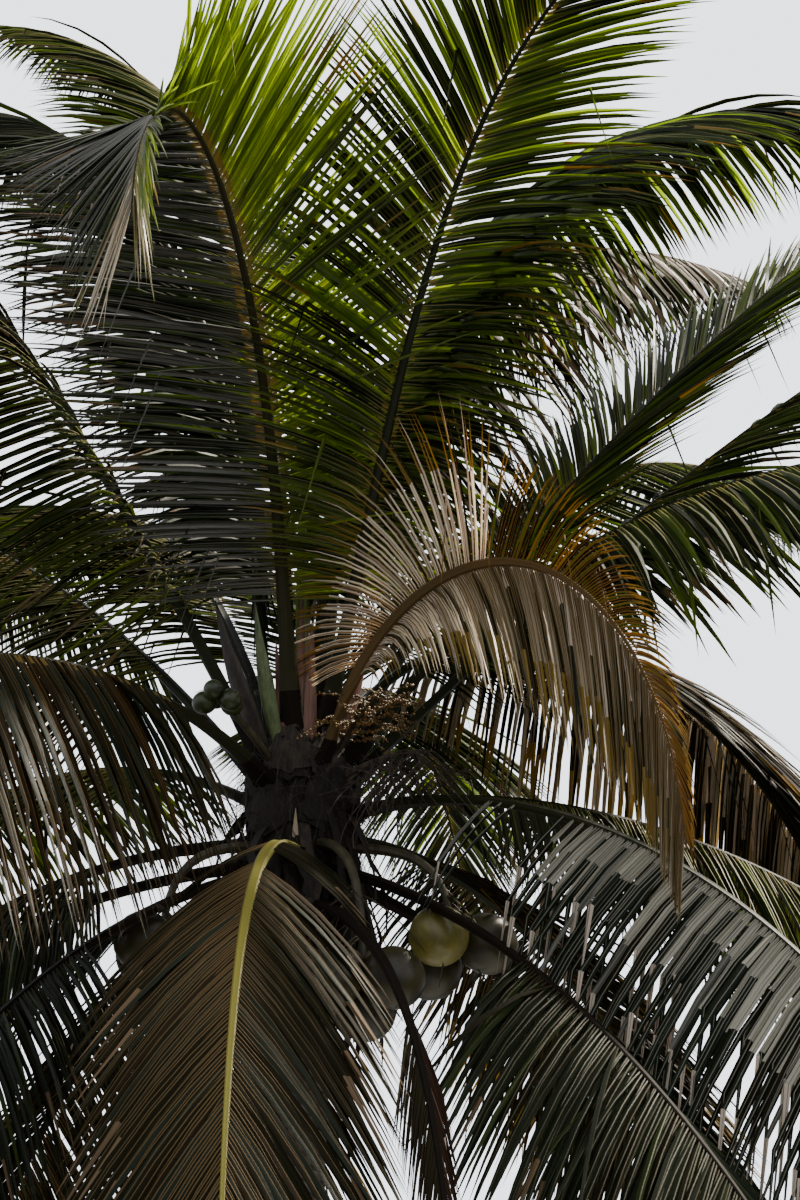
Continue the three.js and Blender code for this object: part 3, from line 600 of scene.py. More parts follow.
def leaflet_tints(tint, blade, crease_at, habit, rng):
    """Skin indices for the leaflets' sides, for their roots and for the faces of their tips."""
    _, line, (tip_turns, tip_chance), (root_turns, root_steps, root_chance), snapped = TINTS[tint]
    count, stretches = len(blade), len(STRETCHES) - 1
    skin = deal_tints(tint, count, rng)
    foot_skin = deal_tints(habit["foot_tint"] or tint, count, rng)
    skin = np.where(blade < habit["foot_tinted"], foot_skin, skin)
    skin = np.where(blade > habit["dry_from"], deal_tints("pale", count, rng), skin)
    tip_skin = np.where(rng.random(count) < tip_chance, SKIN_INDEX[tip_turns], skin)
    rooted = rng.random(count) < root_chance
    root_reach = root_steps + rng.integers(-1, 2, count) * (root_steps > 1)
    dried = (crease_at < NO_CREASE) & (rng.random(count) < snapped)

    along = np.repeat(skin[:, None], stretches, axis=1)
    along[:, -1] = tip_skin
    along[rooted[:, None] & (np.arange(stretches) < root_reach[:, None])] = SKIN_INDEX[root_turns]
    along[dried[:, None] & (STRETCH_MIDDLES[:-1] > crease_at[:, None])] = SKIN_INDEX["bleached"]
    tip_skin = np.where(dried, SKIN_INDEX["bleached"], tip_skin)
    on_midrib = np.arange(SECTION_SIDES) % 3 == 1
    sides = np.repeat(along, SECTION_SIDES, axis=1)
    sides = np.where(np.tile(on_midrib, stretches), SKIN_INDEX[line], sides)
    ends = np.where(on_midrib, SKIN_INDEX[line], tip_skin[:, None])
    return sides.ravel(), skin, ends.ravel()


print("ways of ageing:", ", ".join(TINTS))

# %% Leaflet lines
LEAFLET_LENGTH = 0.95
LONGEST_AT, FOOT_LEAFLET_SHARE, SHORTENING_POWER = 0.35, 0.5, 1.6
FOOT_ANGLE, TIP_ANGLE = 88, 20
STRAYS, STRAY_MORE = 0.07, 3.5
UNEVEN_PLACE, UNEVEN_ANGLE, UNEVEN_LIFT = 0.0007, 1.3, 3
ROOT_BESIDE, ROOT_ABOVE = 0.42, 0.2
CREASE_DROP = 3.0


def leaflet_length(blade, tip_share):
    rising = np.sin(np.pi / 2 * np.minimum(1, blade / LONGEST_AT))
    past = np.maximum(0, (blade - LONGEST_AT) / (1 - LONGEST_AT))
    share = mix(FOOT_LEAFLET_SHARE, 1, rising) - (1 - tip_share) * past**SHORTENING_POWER
    return LEAFLET_LENGTH * share


def leaflet_lines(frond, side, habit, snapped, rng):
    """Where the leaflets on one side of a rib run, and how long, stray and creased they are."""
    count = int(frond["length"] * (BLADE_END - BLADE_START) / habit["spacing"])
    s = np.linspace(BLADE_START, BLADE_END, count) + rng.normal(0, UNEVEN_PLACE, count)
    s = np.clip(s, BLADE_START, BLADE_END)
    blade = (s - BLADE_START) / (1 - BLADE_START)
    along, left, up = rib_frame(frond, s)
    # Most leaflets keep in line with their neighbours, and a few stray
    stray = np.where(rng.random(count) < STRAYS, STRAY_MORE, 1.0) * habit["stray"]
    foot = np.maximum(0, 1 - blade / habit["foot_part"]) ** 0.5
    length = leaflet_length(blade, habit["tip_share"]) * rng.uniform(0.9, 1.0, count)
    length *= habit["side_share"]
    length *= habit["longer"]
    length *= mix(1, habit["foot_longer"], foot)
    angle = mix(FOOT_ANGLE, TIP_ANGLE, blade) * habit["spread"]
    angle = angle + stray * rng.normal(0, UNEVEN_ANGLE, count)
    angle = np.radians(angle + foot * habit["foot_lean"])
    lift = np.radians(habit["lift"] + stray * rng.normal(0, UNEVEN_LIFT, count))[:, None]
    sag = habit["sag"] * rng.uniform(0.9, 1.12, count)
    across = side * np.sin(angle)[:, None]
    first = along * np.cos(angle)[:, None] + left * across * np.cos(lift)
    first = first + up * np.abs(across) * np.sin(lift)

    # Each stretch hangs more than the last, and past a crease the leaflet falls
    is_snapped = rng.random(count) < snapped
    crease_at = np.where(is_snapped, rng.choice(CREASES_AT, count), NO_CREASE)
    way = np.repeat(first[:, None, :], len(STRETCHES), axis=1)
    way[..., 2] -= sag[:, None] * STRETCH_MIDDLES
    way[..., 2] -= CREASE_DROP * (STRETCH_MIDDLES > crease_at[:, None])
    way = unit(way)
    step = way * STRETCHES[:, None] * length[:, None, None]
    root = left * side * ROOT_BESIDE + up * ROOT_ABOVE
    root = (rib_points(frond, s) + root * rib_width(s)[:, None])[:, None, :]
    centre = np.concatenate([root, root + np.cumsum(step, axis=1)], axis=1)
    heading = unit(np.concatenate([way[:, :1], (way[:, 1:] + way[:, :-1]) / 2, way[:, -1:]], axis=1))
    return SimpleNamespace(
        blade=blade, along=along[:, None, :], up=up[:, None, :], stray=stray,
        length=length, crease_at=crease_at, centre=centre, heading=heading,
    )


print("the longest leaflet:", leaflet_length(np.array([LONGEST_AT]), 0.28)[0], "m")

# %% Leaflet bodies
WIDTH_AT = np.array([0.40, 0.70, 1.0, 0.98, 0.76, 0.42, 0.0])
LEAFLET_WIDTH, FULL_WIDTH_FROM, SLIMMEST = 0.032, 0.75, 0.45
BLADE_THICKNESS = 0.0011
MIDRIB_WIDTH, MIDRIB_DEPTH = 0.0046, 0.0030
SLAT_TURN, UNEVEN_TURN, UNEVEN_TWIST = 16, 6, 16
DRIED_WIDTH, CREASE_LENGTH = 0.6, 0.12
BOX_MARGIN = 0.003
# Ripe nuts in front of the leaves, by azimuth, reach and rise from the heart, and the room they keep
RIPE_NUTS = [(336, 0.62, -0.64), (213, 0.58, -0.68), (297, 0.56, -0.80)]
NUT_ROOM, NUT_VIEW = 0.135, 1.2


def leaflet_bodies(lines, side, habit, rng):
    """The points of each leaflet: six sections with two slopes and two strips, and the tip."""
    along, up, heading, count = lines.along, lines.up, lines.heading, len(lines.blade)
    # The width lies along the rib, turned a little so that neighbours overlap like slats
    wide = unit(along - heading * np.sum(along * heading, -1, keepdims=True))
    over = np.cross(heading, wide)
    flip = np.where(np.sum(over * up, -1, keepdims=True) < 0, -1.0, 1.0)
    wide, over = wide * flip, over * flip
    turn = np.radians(side * SLAT_TURN * flip[:, 0, 0] + lines.stray * rng.normal(0, UNEVEN_TURN, count))
    twist = np.radians(lines.stray * rng.normal(0, UNEVEN_TWIST, count))[:, None] * RINGS_AT
    twist = (turn[:, None] + twist)[..., None]
    wide, over = (
        wide * np.cos(twist) + over * np.sin(twist),
        over * np.cos(twist) - wide * np.sin(twist),
    )

    slim = np.clip(lines.length / FULL_WIDTH_FROM, SLIMMEST, 1)[:, None] * habit["width"]
    half = (LEAFLET_WIDTH / 2 * WIDTH_AT * slim * rng.uniform(0.88, 1.1, (count, 1)))[..., None]
    # Past a crease the dried end is rolled narrow
    past_crease = RINGS_AT > lines.crease_at[:, None] + CREASE_LENGTH
    half = np.where(past_crease[..., None], half * DRIED_WIDTH, half)
    fold = habit["fold"] * rng.uniform(0.75, 1.3, (count, 1, 1))
    strip = np.minimum((MIDRIB_WIDTH / 2 * (1 - 0.8 * RINGS_AT))[:, None], half * 0.5)
    thin = (1 - 0.7 * RINGS_AT)[:, None]
    edge = half / np.sqrt(1 + fold**2)
    above, under = BLADE_THICKNESS * thin - fold * strip, -fold * strip - MIDRIB_DEPTH * thin
    section = [
        (edge, -fold * edge), (strip, above), (-strip, above),
        (-edge, -fold * edge), (-strip, under), (strip, under),
    ]
    body = np.stack([lines.centre + wide * a + over * b for a, b in section], axis=2)[:, :-1]
    points = np.concatenate([body.reshape(count, -1, 3), lines.centre[:, -1:]], axis=1)
    return np.clip(points, np.array(CAD_BOX[0]) + BOX_MARGIN, np.array(CAD_BOX[1]) - BOX_MARGIN)


def covers_nuts(centre):
    """Whether a leaflet's middle line comes near a ripe nut or hangs just in front of it."""
    outward = np.array(CAMERA_FROM_HEART) / np.linalg.norm(CAMERA_FROM_HEART)
    covered = np.zeros(len(centre), bool)
    for azimuth, reach, rise in RIPE_NUTS:
        nut = around(math.radians(azimuth), reach, rise)
        in_front = np.clip((centre - nut) @ outward, 0, NUT_VIEW)
        away = np.linalg.norm(centre - nut - in_front[..., None] * outward, axis=-1)
        covered |= away.min(axis=1) < NUT_ROOM
    return covered


def leaflet_side(collector, frond, side, rng):
    """All the leaflets on one side of a rib: side is 1 for the left and -1 for the right."""
    tint = frond["tints"].split()[0 if side > 0 else -1]
    habit = leaflet_habit(frond, side)
    lines = leaflet_lines(frond, side, habit, TINTS[tint][-1], rng)
    points = leaflet_bodies(lines, side, habit, rng)
    # Leaflets that would lie over the ripe nuts have rubbed off
    kept = ~covers_nuts(lines.centre)
    points = points[kept]
    stride = points.shape[1]
    quads, foot, last = tube_faces(len(STRETCHES), SECTION_SIDES)
    end = np.stack([last[0], np.roll(last[0], -1), np.full(SECTION_SIDES, stride - 1)], -1)
    tints = leaflet_tints(tint, lines.blade[kept], lines.crease_at[kept], habit, rng)
    collector.add(points, repeated([quads, foot, end], len(points), stride), tints)


print("ripe nuts that the leaflets keep clear of:", len(RIPE_NUTS))

# %% [markdown]
# ## Ribs
# The rib of a frond is its leaf stalk carried on between the leaflets. It is flat above and keeled
# below, as wide as a hand at its foot, where it clasps the head of the palm, and thin as a pencil at
# its tip. A tube of eight sides through sixty-one stations follows the same curve as the plain solid.

# %% Rib arrays
RIB_SECTION = np.array(
    [(1, 0.35), (0.6, 0.85), (0, 0.7), (-0.6, 0.85), (-1, 0.35), (-0.75, -0.55), (0, -1), (0.75, -0.55)]
)
ROOT_INSIDE_HEAD = 0.10
STATIONS = np.concatenate([np.linspace(0, 0.12, 12), np.linspace(0.14, 1.0, 48)])
CLASP_WIDTH, CLASP_LENGTH, CLASP_THICKNESS, CLASP_BROWN = 0.05, 0.10, 0.1, 0.16
RIB_TINTS = {"hang_front": "rib_yellow", "high_front": "line_dark", "arch_front": "line_tan"}
BROWN_RIBS = "low_left low_left_back low_back low_back_left hang_left hang_right_front hang_back_right dead"
RIB_TINTS.update(dict.fromkeys(BROWN_RIBS.split(), "rib_brown"))


def rib_mesh(collector, frond):
    length = frond["length"]
    s = np.concatenate([[-ROOT_INSIDE_HEAD / length], STATIONS])
    along, left, up = rib_frame(frond, s)
    half = rib_width(s) / 2
    clasp = CLASP_WIDTH * np.exp(-np.maximum(s, 0) * length / CLASP_LENGTH)
    wide = left * (half + clasp)[:, None]
    high = up * (half * RIB_HEIGHT_SHARE + CLASP_THICKNESS * clasp)[:, None]
    points = (
        rib_points(frond, s)[:, None, :]
        + wide[:, None, :] * RIB_SECTION[:, :1]
        + high[:, None, :] * RIB_SECTION[:, 1:]
    )
    faces = tube_faces(len(s), len(RIB_SECTION))
    # The clasping foot is brown, and the rest has the rib's own tint
    tint, brown = SKIN_INDEX[RIB_TINTS.get(frond["name"], "rib_green")], SKIN_INDEX["rib_brown"]
    is_clasp = np.repeat(s[:-1] * length < CLASP_BROWN, len(RIB_SECTION))
    collector.add(points, faces, [np.where(is_clasp, brown, tint), brown, tint])


print("stations on a rib:", len(STATIONS) + 1)

# %% [markdown]
# ## Growing the crown
# The fronds are gathered by age into six groups, so that no mesh is too large, from the young ones
# at the top to the old ones that hang round the stem. Each group gives one mesh of leaflets and one
# of ribs, which stand for the frame's plain fronds.

# %% Grow the leaflets and ribs
# Each group's slot, and the climbs at the foot that its fronds lie between
GROUPS = {
    "young": ("leaf_young", 80, 90),
    "upright": ("leaf_young", 58, 80),
    "spreading": ("leaf_mature", 45, 58),
    "drooping": ("leaf_mature", 15, 45),
    "hanging": ("leaf_old", -10, 15),
    "oldest": ("leaf_old", -90, -10),
}
FIRST_SEED = 40


def frond_nodes(name):
    """The frame's nodes of a frond, which is one solid, or a foot and an end."""
    own = [f"frond_{name}", f"frond_{name}_foot", f"frond_{name}_end"]
    return [node for node in frame["nodes"] if node in own]


for seed, (group, (slot_name, lowest, highest)) in enumerate(GROUPS.items()):
    rng = np.random.default_rng(FIRST_SEED + seed)
    leaflets, ribs = Collector(), Collector()
    nodes = []
    for name, frond in FRONDS.items():
        if lowest < frond["rise"] <= highest:
            leaflet_side(leaflets, frond, 1, rng)
            leaflet_side(leaflets, frond, -1, rng)
            rib_mesh(ribs, frond)
            nodes += frond_nodes(name)
    finish_piece(leaflets.mesh(f"leaflets_{group}", LEAF_SKINS), nodes)
    finish_piece(ribs.mesh(f"ribs_{group}", LEAF_SKINS))

# %% [markdown]
# ## Bark, fibre, fruit and flower finishes
# These surfaces are rough and broken up, so their colour and relief come from noise on the piece's
# own place. Noise stretched upwards gives the fine cracks of the bark and the grain of a sheath. The
# green fruit is waxy, with soft brown scars.

# %% Woody materials
GRAIN_DETAIL, GRAIN_ROUGHNESS = 6, 0.65
DARK_UP_TO, LIGHT_FROM = 0.36, 0.64


def grainy(name, dark, light, scale, stretch=1.0, roughness=0.8, relief=0.6, depth=0.004):
    """A finish whose tint and relief follow noise, drawn out upwards by the stretch."""
    finish, nodes, links, face = new_finish(name, roughness)
    place = add_node(nodes, "TexCoord")
    drawn = add_node(nodes, "Mapping", [("Scale", (scale, scale, scale / stretch))])
    grain = [("Scale", 1), ("Detail", GRAIN_DETAIL), ("Roughness", GRAIN_ROUGHNESS)]
    noise = add_node(nodes, "TexNoise", grain)
    tones = add_node(nodes, "ValToRGB")
    low_tone, high_tone = tones.color_ramp.elements
    low_tone.position, high_tone.position = DARK_UP_TO, LIGHT_FROM
    low_tone.color, high_tone.color = (*dark, 1), (*light, 1)
    links.new(place.outputs["Object"], drawn.inputs["Vector"])
    links.new(drawn.outputs["Vector"], noise.inputs["Vector"])
    links.new(noise.outputs["Fac"], tones.inputs["Fac"])
    links.new(tones.outputs["Color"], face.inputs["Base Color"])
    add_relief(nodes, links, face, noise.outputs["Fac"], relief, depth)
    return finish


BARK = grainy("bark", (0.085, 0.070, 0.056), (0.235, 0.205, 0.175), 26, 3.5, 0.9, 0.8, 0.008)
RING_SCAR = grainy("ring_scar", (0.040, 0.031, 0.024), (0.110, 0.090, 0.072), 40, 2, 0.95)
FIBRE_DARK = grainy("fibre_dark", (0.005, 0.004, 0.003), (0.024, 0.016, 0.011), 70, 8, 0.9)
FIBRE_LIGHT = grainy("fibre_light", (0.010, 0.007, 0.005), (0.050, 0.034, 0.021), 80, 8, 0.85)
NUT_SKIN = grainy("nut_skin", (0.110, 0.092, 0.022), (0.230, 0.200, 0.040), 9, 1, 0.35, 0.25)
# Painted shade: a darker copy of the nut's skin for nuts that hang in shade.
NUT_IN_PAINTED_SHADE = grainy("nut_painted_shade", (0.018, 0.015, 0.006), (0.052, 0.044, 0.013), 9, 1, 0.4, 0.25)
NUT_YOUNG = grainy("nut_young", (0.016, 0.022, 0.006), (0.046, 0.056, 0.014), 14, 1, 0.35, 0.2)
CALYX = grainy("nut_calyx", (0.060, 0.045, 0.020), (0.150, 0.120, 0.055), 30, 1, 0.7)
STALK = grainy("fruit_stalk", (0.022, 0.018, 0.008), (0.075, 0.060, 0.024), 30, 6, 0.55)
FLOWER = grainy("flower_buds", (0.110, 0.050, 0.010), (0.330, 0.180, 0.035), 60, 1, 0.6)
SPENT = grainy("spent_twigs", (0.018, 0.012, 0.008), (0.080, 0.055, 0.036), 50, 3, 0.8)
SPATHE_GREEN = grainy("spathe_green", (0.060, 0.085, 0.030), (0.160, 0.200, 0.080), 45, 14, 0.45)
SPATHE_BROWN = grainy("spathe_brown", (0.012, 0.009, 0.007), (0.050, 0.034, 0.024), 45, 14, 0.5)
SPATHE_RED = grainy("spathe_red", (0.080, 0.030, 0.018), (0.240, 0.110, 0.070), 45, 14, 0.55)
SPEAR_GREEN = grainy("spear_green", (0.070, 0.100, 0.015), (0.200, 0.240, 0.040), 45, 14, 0.4)
BRACT = grainy("pale_bract", (0.260, 0.200, 0.110), (0.480, 0.400, 0.250), 45, 10, 0.6)
print("woody finishes made, the last is", BRACT.name)

# %% [markdown]
# ## Stem
# Every frond that falls leaves a shallow ring round the stem, so a coconut stem is a stack of rings
# on a slim, leaning column that swells at the foot. A lathe can't lean, and a displaced cylinder has
# no clean rings. So the stem is extruded: a disc is drawn up ring by ring, moved along the lean and
# scaled to the stem's taper, with a lip and a groove at each scar.

# %% Extrusion along the lean
STEM_SIDES, STEM_LENGTH = 36, 5.6
STEM_FOOT_RADIUS, STEM_TOP_RADIUS = 0.155, 0.125
SWELLING, SWELLING_HEIGHT = 0.145, 0.25
# Rises above the heart of the crown, and the head's radius there
HEAD_PROFILE = [(-0.48, 0.142), (-0.34, 0.166), (-0.18, 0.180), (0, 0.176), (0.10, 0.164)]
HEAD_PROFILE += [(0.18, 0.134), (0.24, 0.095), (0.268, 0.055)]


def head_radius(rise):
    heights, radii = zip(*HEAD_PROFILE)
    return np.interp(rise, heights, radii)


def stem_centre(z):
    share = min(z / HEART[2], 1)
    lean = 1 - (1 - share) ** 2
    return Vector((HEART[0] * lean, HEART[1] * lean, z))


def stem_radius(z):
    if z > STEM_LENGTH:
        return float(head_radius(z - HEART[2]))
    swelling = SWELLING * math.exp(-z / SWELLING_HEIGHT)
    return mix(STEM_FOOT_RADIUS, STEM_TOP_RADIUS, z / STEM_LENGTH) + swelling


def start_disc(centre, radius, sides):
    """A filled disc, open in edit mode with all of it selected."""
    bpy.ops.object.select_all(action="DESELECT")
    bpy.ops.mesh.primitive_circle_add(vertices=sides, radius=radius, fill_type="NGON", location=centre)
    disc = bpy.context.object
    bpy.ops.object.transform_apply(location=True, rotation=True, scale=True)
    bpy.ops.object.mode_set(mode="EDIT")
    bpy.ops.mesh.select_all(action="SELECT")
    return disc


def extrude_to(centre, last_centre, growth):
    step = Vector(centre) - Vector(last_centre)
    bpy.ops.mesh.extrude_region_move(TRANSFORM_OT_translate={"value": tuple(step)})
    bpy.ops.transform.resize(value=(growth,) * 3, center_override=tuple(centre))


def shape_selected(piece, chosen, operator, **settings):
    """Selects the vertices that chosen accepts and runs one edit-mode operator on them."""
    for vertex in piece.data.vertices:
        vertex.select = chosen(vertex)
    bpy.ops.object.mode_set(mode="EDIT")
    operator(**settings)
    bpy.ops.object.mode_set(mode="OBJECT")


print("stem's width at the foot:", round(2 * stem_radius(0), 2))

# %% Stem rings
# A scar's profile: rises above the scar, and how far the bark stands proud there
SCAR_PROFILE = [(-0.012, 0.0), (-0.003, 0.005), (0.004, -0.003)]
LOWEST_SCAR, SCAR_ROOM_ABOVE = 0.09, 0.03
LEAST_STEP, MORE_STEP, STEP_POWER = 0.028, 0.030, 0.6
EVEN_FOOT, BARK_UNEVEN = 0.05, 0.0035
LIP_FACING = 0.9


def scar_heights():
    """Scars lie close at the foot and under the head, and further apart between."""
    heights, z = [], LOWEST_SCAR
    while z < STEM_LENGTH - SCAR_ROOM_ABOVE:
        heights.append(z)
        z += LEAST_STEP + MORE_STEP * math.sin(math.pi * min(z / STEM_LENGTH, 1)) ** STEP_POWER
    return heights


levels = [(z + rise, proud) for z in scar_heights() for rise, proud in SCAR_PROFILE]
levels += [(HEART[2] + rise, 0.0) for rise, _ in HEAD_PROFILE]
rng = np.random.default_rng(7)
centre, radius = stem_centre(0), stem_radius(0)
stem = start_disc(centre, radius, STEM_SIDES)
stem.name = "stem_with_scars"
for z, proud in levels:
    new_centre = stem_centre(z)
    new_radius = stem_radius(z) + proud * rng.uniform(0.6, 1.3)
    extrude_to(new_centre, centre, new_radius / radius)
    centre, radius = new_centre, new_radius
bpy.ops.object.mode_set(mode="OBJECT")
shape_selected(
    stem,
    lambda vertex: EVEN_FOOT < vertex.co.z < STEM_LENGTH,
    bpy.ops.transform.vertex_random,
    offset=BARK_UNEVEN,
    uniform=1.0,
    seed=3,
)
for skin in (BARK, RING_SCAR, FIBRE_DARK):
    stem.data.materials.append(skin)
for face in stem.data.polygons:
    middle = stem_centre(face.center.z)
    outward = face.normal.dot((face.center - middle).normalized())
    if face.center.z > STEM_LENGTH:
        face.material_index = 2
    elif outward < LIP_FACING:
        face.material_index = 1
finish_piece(stem, ["stem"], crease=50)

# %% [markdown]
# ## Sheaths and fibres of the head
# The foot of each frond widens into a sheath that clasps the head. As it ages the sheath frays into
# brown cloth and wiry fibres, which is why the heart of the crown looks dark and shaggy. There are
# dozens of these scraps and hundreds of fibres, so both are joined meshes from arrays.

# %% Tubes and sheets
def tapering(half_width, shares, narrowing=0.6):
    """A twig's half widths at shares of its length."""
    return half_width * (1 - narrowing * shares)


def tubes(collector, paths, radii, sides):
    """Closed tubes through paths, an array of tubes, points and x y z, with a radius for each point."""
    radii = np.broadcast_to(radii, paths.shape[:2])
    way = unit(np.gradient(paths, axis=1))
    beside = unit(np.cross(way, np.array([0.31, 0.17, 0.94])))
    over = np.cross(way, beside)
    turn = (2 * np.pi * np.arange(sides) / sides)[:, None]
    ring = beside[:, :, None, :] * np.cos(turn) + over[:, :, None, :] * np.sin(turn)
    points = paths[:, :, None, :] + ring * radii[:, :, None, None]
    count, rings = paths.shape[:2]
    faces = repeated(tube_faces(rings, sides), count, rings * sides)
    collector.add(points, faces, [0, 0, 0])


def hang_sheet(collector, turn, reach, rise, thickness, tint):
    """A closed thin sheet round the head, from grids of azimuths in radians, reaches and rises."""
    outer, inner = around(turn, reach, rise), around(turn, reach - thickness, rise)
    under = rise.size
    index = np.arange(under).reshape(rise.shape)
    a, b = index[:-1, :-1].ravel(), index[:-1, 1:].ravel()
    c, d = index[1:, 1:].ravel(), index[1:, :-1].ravel()
    rim = np.concatenate([index[0, :-1], index[:-1, -1], index[-1, :0:-1], index[:0:-1, 0]])
    after = np.roll(rim, -1)
    edge = np.stack([after, rim, rim + under, after + under], -1)
    faces = [np.stack([a, b, c, d], -1), np.stack([d, c, b, a], -1) + under, edge]
    collector.add(np.stack([outer, inner]), faces, [tint] * 3)


def sheet_grid(rows, columns):
    """Shares down a sheet, from 0 to 1, and across it, from -1 to 1."""
    return np.linspace(0, 1, rows)[:, None], np.linspace(-1, 1, columns)[None, :]


print("a twig's width at its end:", tapering(1, 1), "of its width at the start")

# %% Sheaths
SHEATH_LAYERS, SHEATH_SIZE, LOWEST_SHEATH, SHEATH_THICKNESS = 2, (8, 9), -0.60, 0.005
LIGHT_SHEATHS, LIGHT_STRIPS, CURLED_FIBRES = 0.15, 0.2, 0.25
# A sheath's drop in metres, half its angle at the top and at the bottom in radians, and how far it
# stands off the head, beside what its bulge adds
SHEATH_DROP, TOP_HALF_ANGLE, LOW_HALF_ANGLE, SHEATH_OFF = (0.16, 0.26), 0.16, (0.5, 0.8), (0.004, 0.022)
down, across = sheet_grid(*SHEATH_SIZE)
rng = np.random.default_rng(11)
sheaths = Collector()
for frond in FRONDS.values():
    for _ in range(SHEATH_LAYERS):
        drop = rng.uniform(*SHEATH_DROP)
        half_angle = mix(TOP_HALF_ANGLE, rng.uniform(*LOW_HALF_ANGLE), down**0.8)
        turn = math.radians(frond["azimuth"]) + across * half_angle + rng.normal(0, 0.05, SHEATH_SIZE)
        rise = frond["foot"] + 0.05 - drop * down + 0.05 * np.abs(across) * down
        rise = np.maximum(rise + rng.normal(0, 0.006, SHEATH_SIZE), LOWEST_SHEATH)
        puff = 0.030 * (1 - down) + 0.016 * down * (1 - across**2) + rng.uniform(*SHEATH_OFF)
        reach = head_radius(rise) + puff + rng.normal(0, 0.004, SHEATH_SIZE)
        hang_sheet(sheaths, turn, reach, rise, SHEATH_THICKNESS, int(rng.random() < LIGHT_SHEATHS))
finish_piece(sheaths.mesh("leaf_sheaths", [FIBRE_DARK, FIBRE_LIGHT]), crease=60)

# %% Fibres
FIBRES, FIBRE_HALF_WIDTH, FIBRE_SIDES = 620, 0.0016, 3
steps = np.linspace(0, 1, 6)[None, :]
turn = rng.uniform(0, 2 * np.pi, (FIBRES, 1)) + rng.normal(0, 0.45, (FIBRES, 1)) * steps
rise = rng.uniform(-0.50, 0.20, (FIBRES, 1))
length = rng.uniform(0.06, 0.30, (FIBRES, 1))
reach = head_radius(rise) + 0.03 + length * rng.uniform(0.0, 0.5, (FIBRES, 1)) * np.sin(np.pi * 0.8 * steps)
# A quarter of the fibres curl up again
rise = rise - length * steps**1.3 + 0.5 * length * (rng.random((FIBRES, 1)) < CURLED_FIBRES) * steps
fibres = Collector()
tubes(fibres, around(turn, reach, rise), tapering(FIBRE_HALF_WIDTH, steps, 0.7), FIBRE_SIDES)
finish_piece(fibres.mesh("head_fibres", [FIBRE_LIGHT]))

# %% [markdown]
# ## Ragged skirt under the head
# Old sheaths hang on as torn strips of brown cloth until the wind takes them. Each strip starts a
# little below the heart, bows out from the head and narrows as it falls. They are thin sheets like
# the sheaths, three points wide and nine long, in one joined mesh.

# %% Ragged skirt
STRIPS, STRIP_SIZE, SKIRT_RADIUS, STRIP_THICKNESS = 90, (9, 3), 0.185, 0.002
down, across = sheet_grid(*STRIP_SIZE)
skirt = Collector()
for _ in range(STRIPS):
    turn = rng.uniform(0, 2 * np.pi) + rng.normal(0, 0.25) * down**2
    drop = rng.uniform(0.25, 0.85)
    half = rng.uniform(0.012, 0.040) * (1 - 0.7 * down) / 0.2
    rise = rng.uniform(-0.30, -0.02) - drop * down + rng.normal(0, 0.006, STRIP_SIZE)
    bow = rng.uniform(0.01, 0.16) * np.sin(np.pi * 0.6 * down)
    reach = SKIRT_RADIUS + bow + rng.normal(0, 0.004, STRIP_SIZE)
    turn = turn + across * half + rng.normal(0, 0.02, (STRIP_SIZE[0], 1))
    hang_sheet(skirt, turn, reach, rise, STRIP_THICKNESS, int(rng.random() < LIGHT_STRIPS))
finish_piece(skirt.mesh("torn_sheath_skirt", [FIBRE_DARK, FIBRE_LIGHT]), crease=60)

# %% [markdown]
# ## Stalks, spathes and the spear leaf
# A spathe is the woody boat that a flower spray grows in, and the spear is the youngest leaf, still
# folded shut. Both are long, slim shapes that follow a bend, so one helper extrudes them: it draws a
# flattened disc along a path, turning and scaling each new ring. It works in the plane of the
# piece's azimuth and turns the finished stalk round the palm's axis at the end.

# %% Stalk helper
def grow_stalk(name, path, half_widths, azimuth, sides=12, flatness=1.0):
    """A closed stalk along path, a list of (reach, rise) pairs, with a half width at each point."""
    path = [Vector((reach, 0, rise)) for reach, rise in path]
    ways = [path[min(i + 1, len(path) - 1)] - path[max(i - 1, 0)] for i in range(len(path))]
    tilts = [math.atan2(way.x, way.z) for way in ways]
    stalk = start_disc(path[0], half_widths[0], sides)
    stalk.name = name
    bpy.ops.transform.resize(value=(flatness, 1, 1), center_override=tuple(path[0]))
    bpy.ops.transform.rotate(value=-tilts[0], orient_axis="Y", center_override=tuple(path[0]))
    for i in range(1, len(path)):
        extrude_to(path[i], path[i - 1], half_widths[i] / half_widths[i - 1])
        bpy.ops.transform.rotate(
            value=tilts[i - 1] - tilts[i], orient_axis="Y", center_override=tuple(path[i])
        )
    bpy.ops.object.mode_set(mode="OBJECT")
    stalk.rotation_euler = (0, 0, math.radians(azimuth))
    stalk.location = Vector(HEART)
    bpy.ops.object.transform_apply(location=True, rotation=True, scale=True)
    return stalk


def bezier(points, count):
    """Points along a Bezier curve of three or four control points, each a (reach, rise) pair."""
    points = np.array(points, float)
    t = np.linspace(0, 1, count)[:, None]
    if len(points) == 4:
        a, b, c, d = points
        return (1 - t) ** 3 * a + 3 * (1 - t) ** 2 * t * b + 3 * (1 - t) * t**2 * c + t**3 * d
    a, b, c = points
    return (1 - t) ** 2 * a + 2 * (1 - t) * t * b + t**2 * c


def widths_along(count, shares, widths):
    """Widths at count even steps, from the widths known at some shares of the length."""
    return np.interp(np.linspace(0, 1, count), shares, widths)


def skin_and_finish(piece, skin, nodes=(), crease=40):
    piece.data.materials.append(skin)
    finish_piece(piece, nodes, crease)


print("a stalk's bend passes", bezier([(0, 0), (0, 1), (1, 1)], 3)[1])

# %% Spathes
SPATHE_STEPS, SPATHE_SIDES, SPATHE_FLATNESS = 15, 14, 0.5
SPATHE_SHARES, SPATHE_WIDTHS = [0, 0.182, 0.364, 0.546, 0.728, 1], [0.5, 0.62, 0.95, 1, 0.62, 0.04]
SPATHE_ROOT, SPATHE_BOW = 0.09, 0.72
OPEN_ABOVE, OPEN_FACING, WALL = 0.2, 0.55, 0.004
